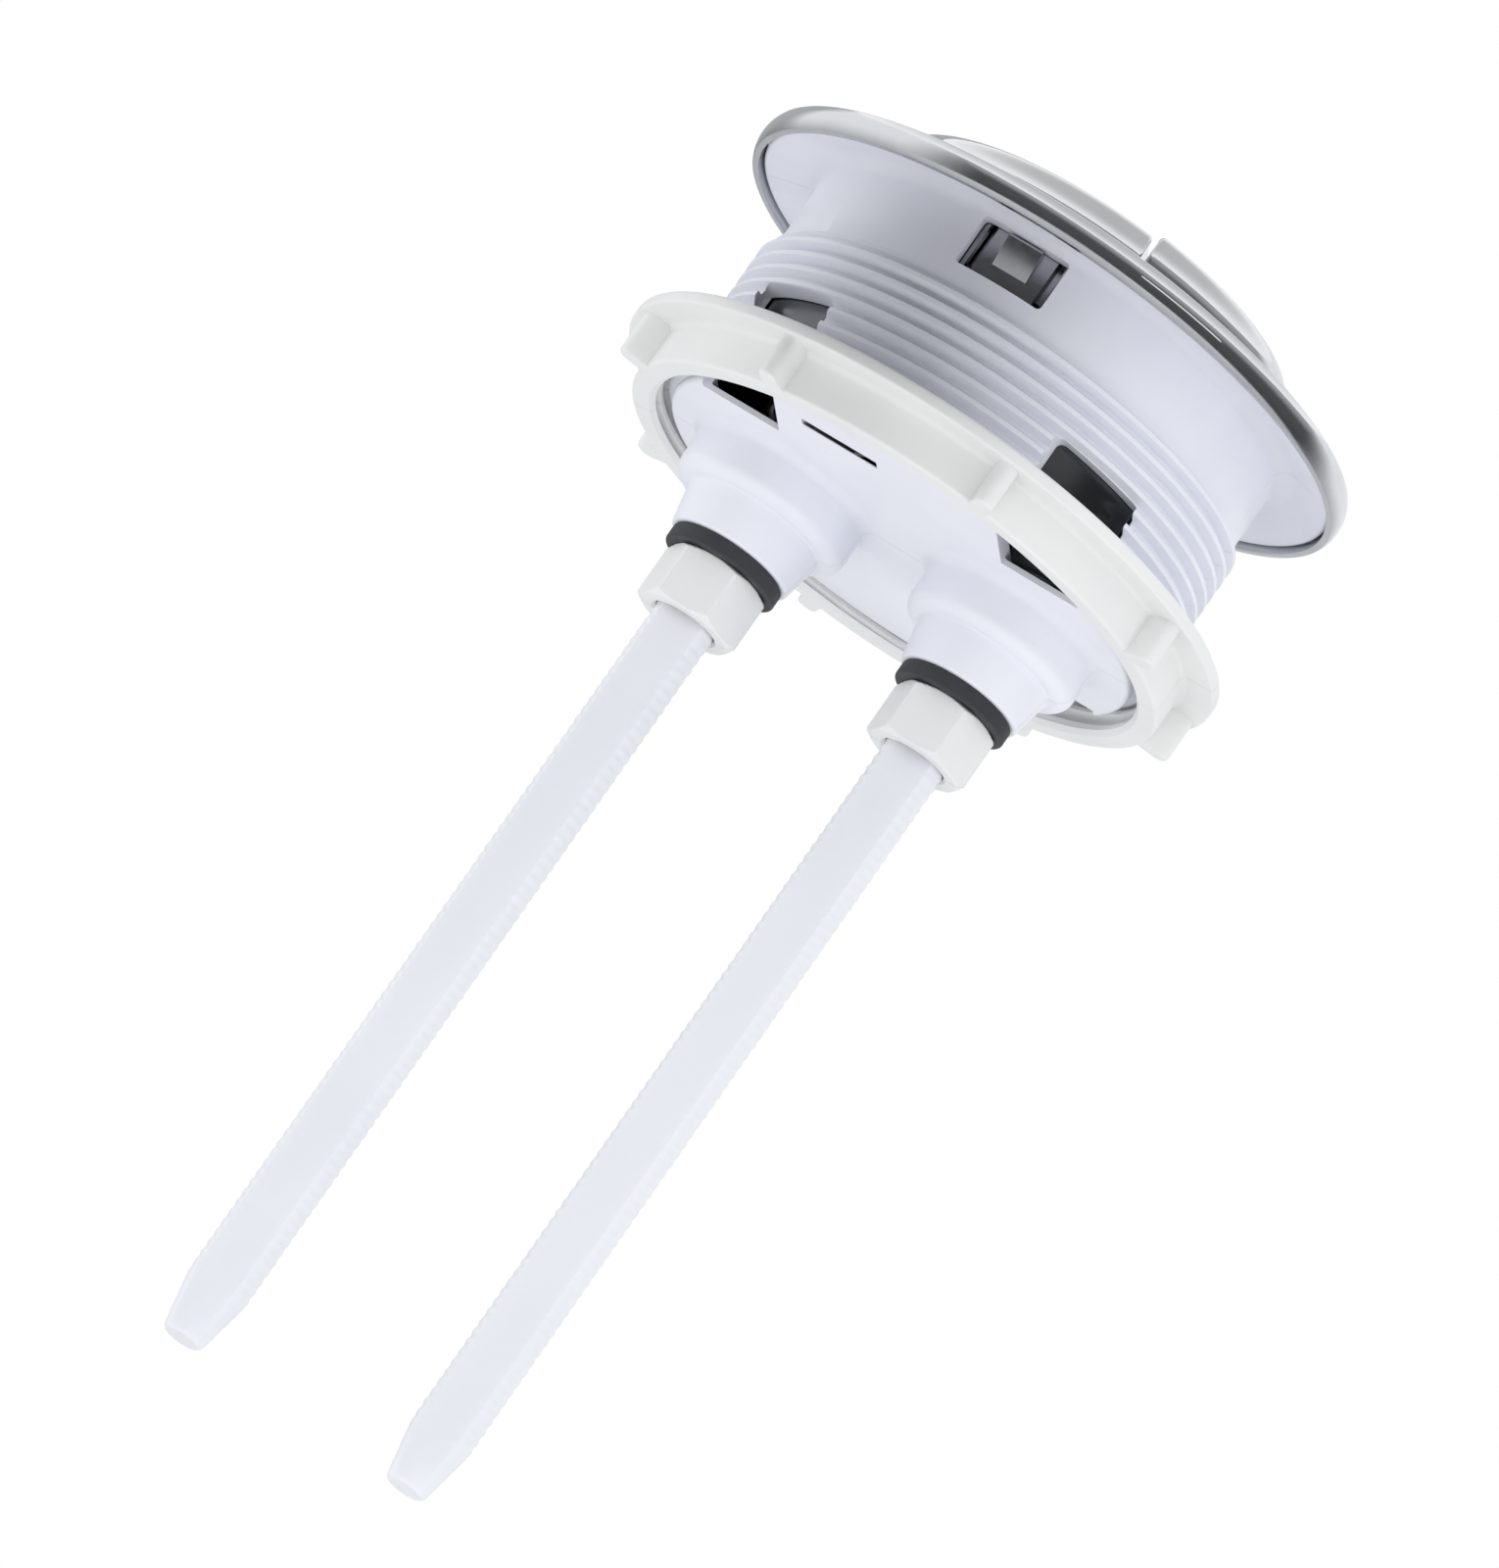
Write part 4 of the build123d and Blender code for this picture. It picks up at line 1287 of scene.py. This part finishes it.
class PUSHBUTTON_OT_studio(Operator):
    """Adds the pale floor, the reflected cards, the front flag, the lamps, the world and the camera."""

    bl_idname = "push_button.add_studio"
    bl_label = "Add studio"

    def execute(self, context):
        studio = context.scene.push_button_studio
        right, down, ahead, level = camera_axes(studio)
        up, near = Vector((0, 0, 1)), Vector((-ahead.x, -ahead.y, 0)).normalized()
        front = math.atan2(near.y, near.x)

        corners = np.array([(-1, -1), (1, -1), (1, 1), (-1, 1)]) * FLOOR_REACH
        floor_points = np.column_stack([corners, np.full(4, studio.floor)])
        floor = solid("studio_floor", (floor_points, np.array([[0, 1, 2, 3]])))
        floor.data.materials.append(plain_finish("pale_floor", 0.82, roughness=0.7))

        darkest = front + math.radians(BAND_DARKEST)
        band = add_card(
            "dark_band", band_finish((math.cos(darkest), math.sin(darkest), 0)),
            (BAND_RADIUS, BAND_RADIUS), (studio.floor, BAND_TOP), front + around(96), REFLECTED_ONLY)
        strip = add_card(
            "light_strip", lit_finish("light_strip", 0.9), (STRIP_RADIUS, STRIP_RADIUS), STRIP_HEIGHT,
            front + np.radians(np.linspace(*STRIP_ARC, 9)), REFLECTED_ONLY)
        sky = add_card(
            "overhead_card", sky_finish(), (0.0, SKY_RADIUS), (SKY_HEIGHT, SKY_HEIGHT), around(48),
            REFLECTED_ONLY)
        flag = add_card(
            "front_flag", plain_finish("front_flag", 0.02), (FLAG_RADIUS, FLAG_RADIUS), FLAG_HEIGHT,
            np.radians(np.linspace(*FLAG_ARC, 17)), SHADING_ONLY)

        for name, ((sideways, nearer, higher), *light) in LAMPS.items():
            add_lamp(name, LAMP_TARGET + level * sideways + near * nearer + up * higher, *light)
        light_world(studio.ambient)
        add_camera(studio, right, down, ahead)
        context.scene.view_settings.view_transform = "Standard"
        return {"FINISHED"}


class PUSHBUTTON_PT_pieces(Panel):
    """Lists the pieces of the push button and their sizes."""

    bl_label = "Push button"
    bl_idname = "PUSHBUTTON_PT_pieces"
    bl_space_type = "VIEW_3D"
    bl_region_type = "UI"
    bl_category = "Push button"

    def draw(self, context):
        for operator in OPERATORS:
            self.layout.operator(operator.bl_idname)
        for label in GROUPS:
            group = getattr(context.scene, label)
            box = self.layout.box()
            for entry in group.__annotations__:
                box.prop(group, entry)


GROUPS = {
    "push_button_bezel": BezelSizes,
    "push_button_housing": HousingSizes,
    "push_button_ring": LockRingSizes,
    "push_button_caps": ButtonSizes,
    "push_button_plungers": PlungerSizes,
    "push_button_rods": RodSizes,
    "push_button_tones": FinishTones,
    "push_button_studio": StudioSizes,
}
OPERATORS = (
    PUSHBUTTON_OT_bezel,
    PUSHBUTTON_OT_housing,
    PUSHBUTTON_OT_lock_ring,
    PUSHBUTTON_OT_buttons,
    PUSHBUTTON_OT_plungers,
    PUSHBUTTON_OT_rods,
    PUSHBUTTON_OT_nuts,
    PUSHBUTTON_OT_studio,
)


def register():
    for entry in (*GROUPS.values(), *OPERATORS, PUSHBUTTON_PT_pieces):
        bpy.utils.register_class(entry)
    for label, group in GROUPS.items():
        setattr(bpy.types.Scene, label, PointerProperty(type=group))


def unregister():
    for label in GROUPS:
        delattr(bpy.types.Scene, label)
    for entry in (PUSHBUTTON_PT_pieces, *reversed(OPERATORS), *reversed(GROUPS.values())):
        bpy.utils.unregister_class(entry)


def main():
    register()
    bpy.ops.push_button.add_bezel()
    bpy.ops.push_button.add_housing()
    bpy.ops.push_button.add_lock_ring()
    bpy.ops.push_button.add_buttons()
    bpy.ops.push_button.add_plungers()
    bpy.ops.push_button.add_rods()
    bpy.ops.push_button.add_nuts()
    bpy.ops.push_button.add_studio()


if __name__ == "__main__":
    main()
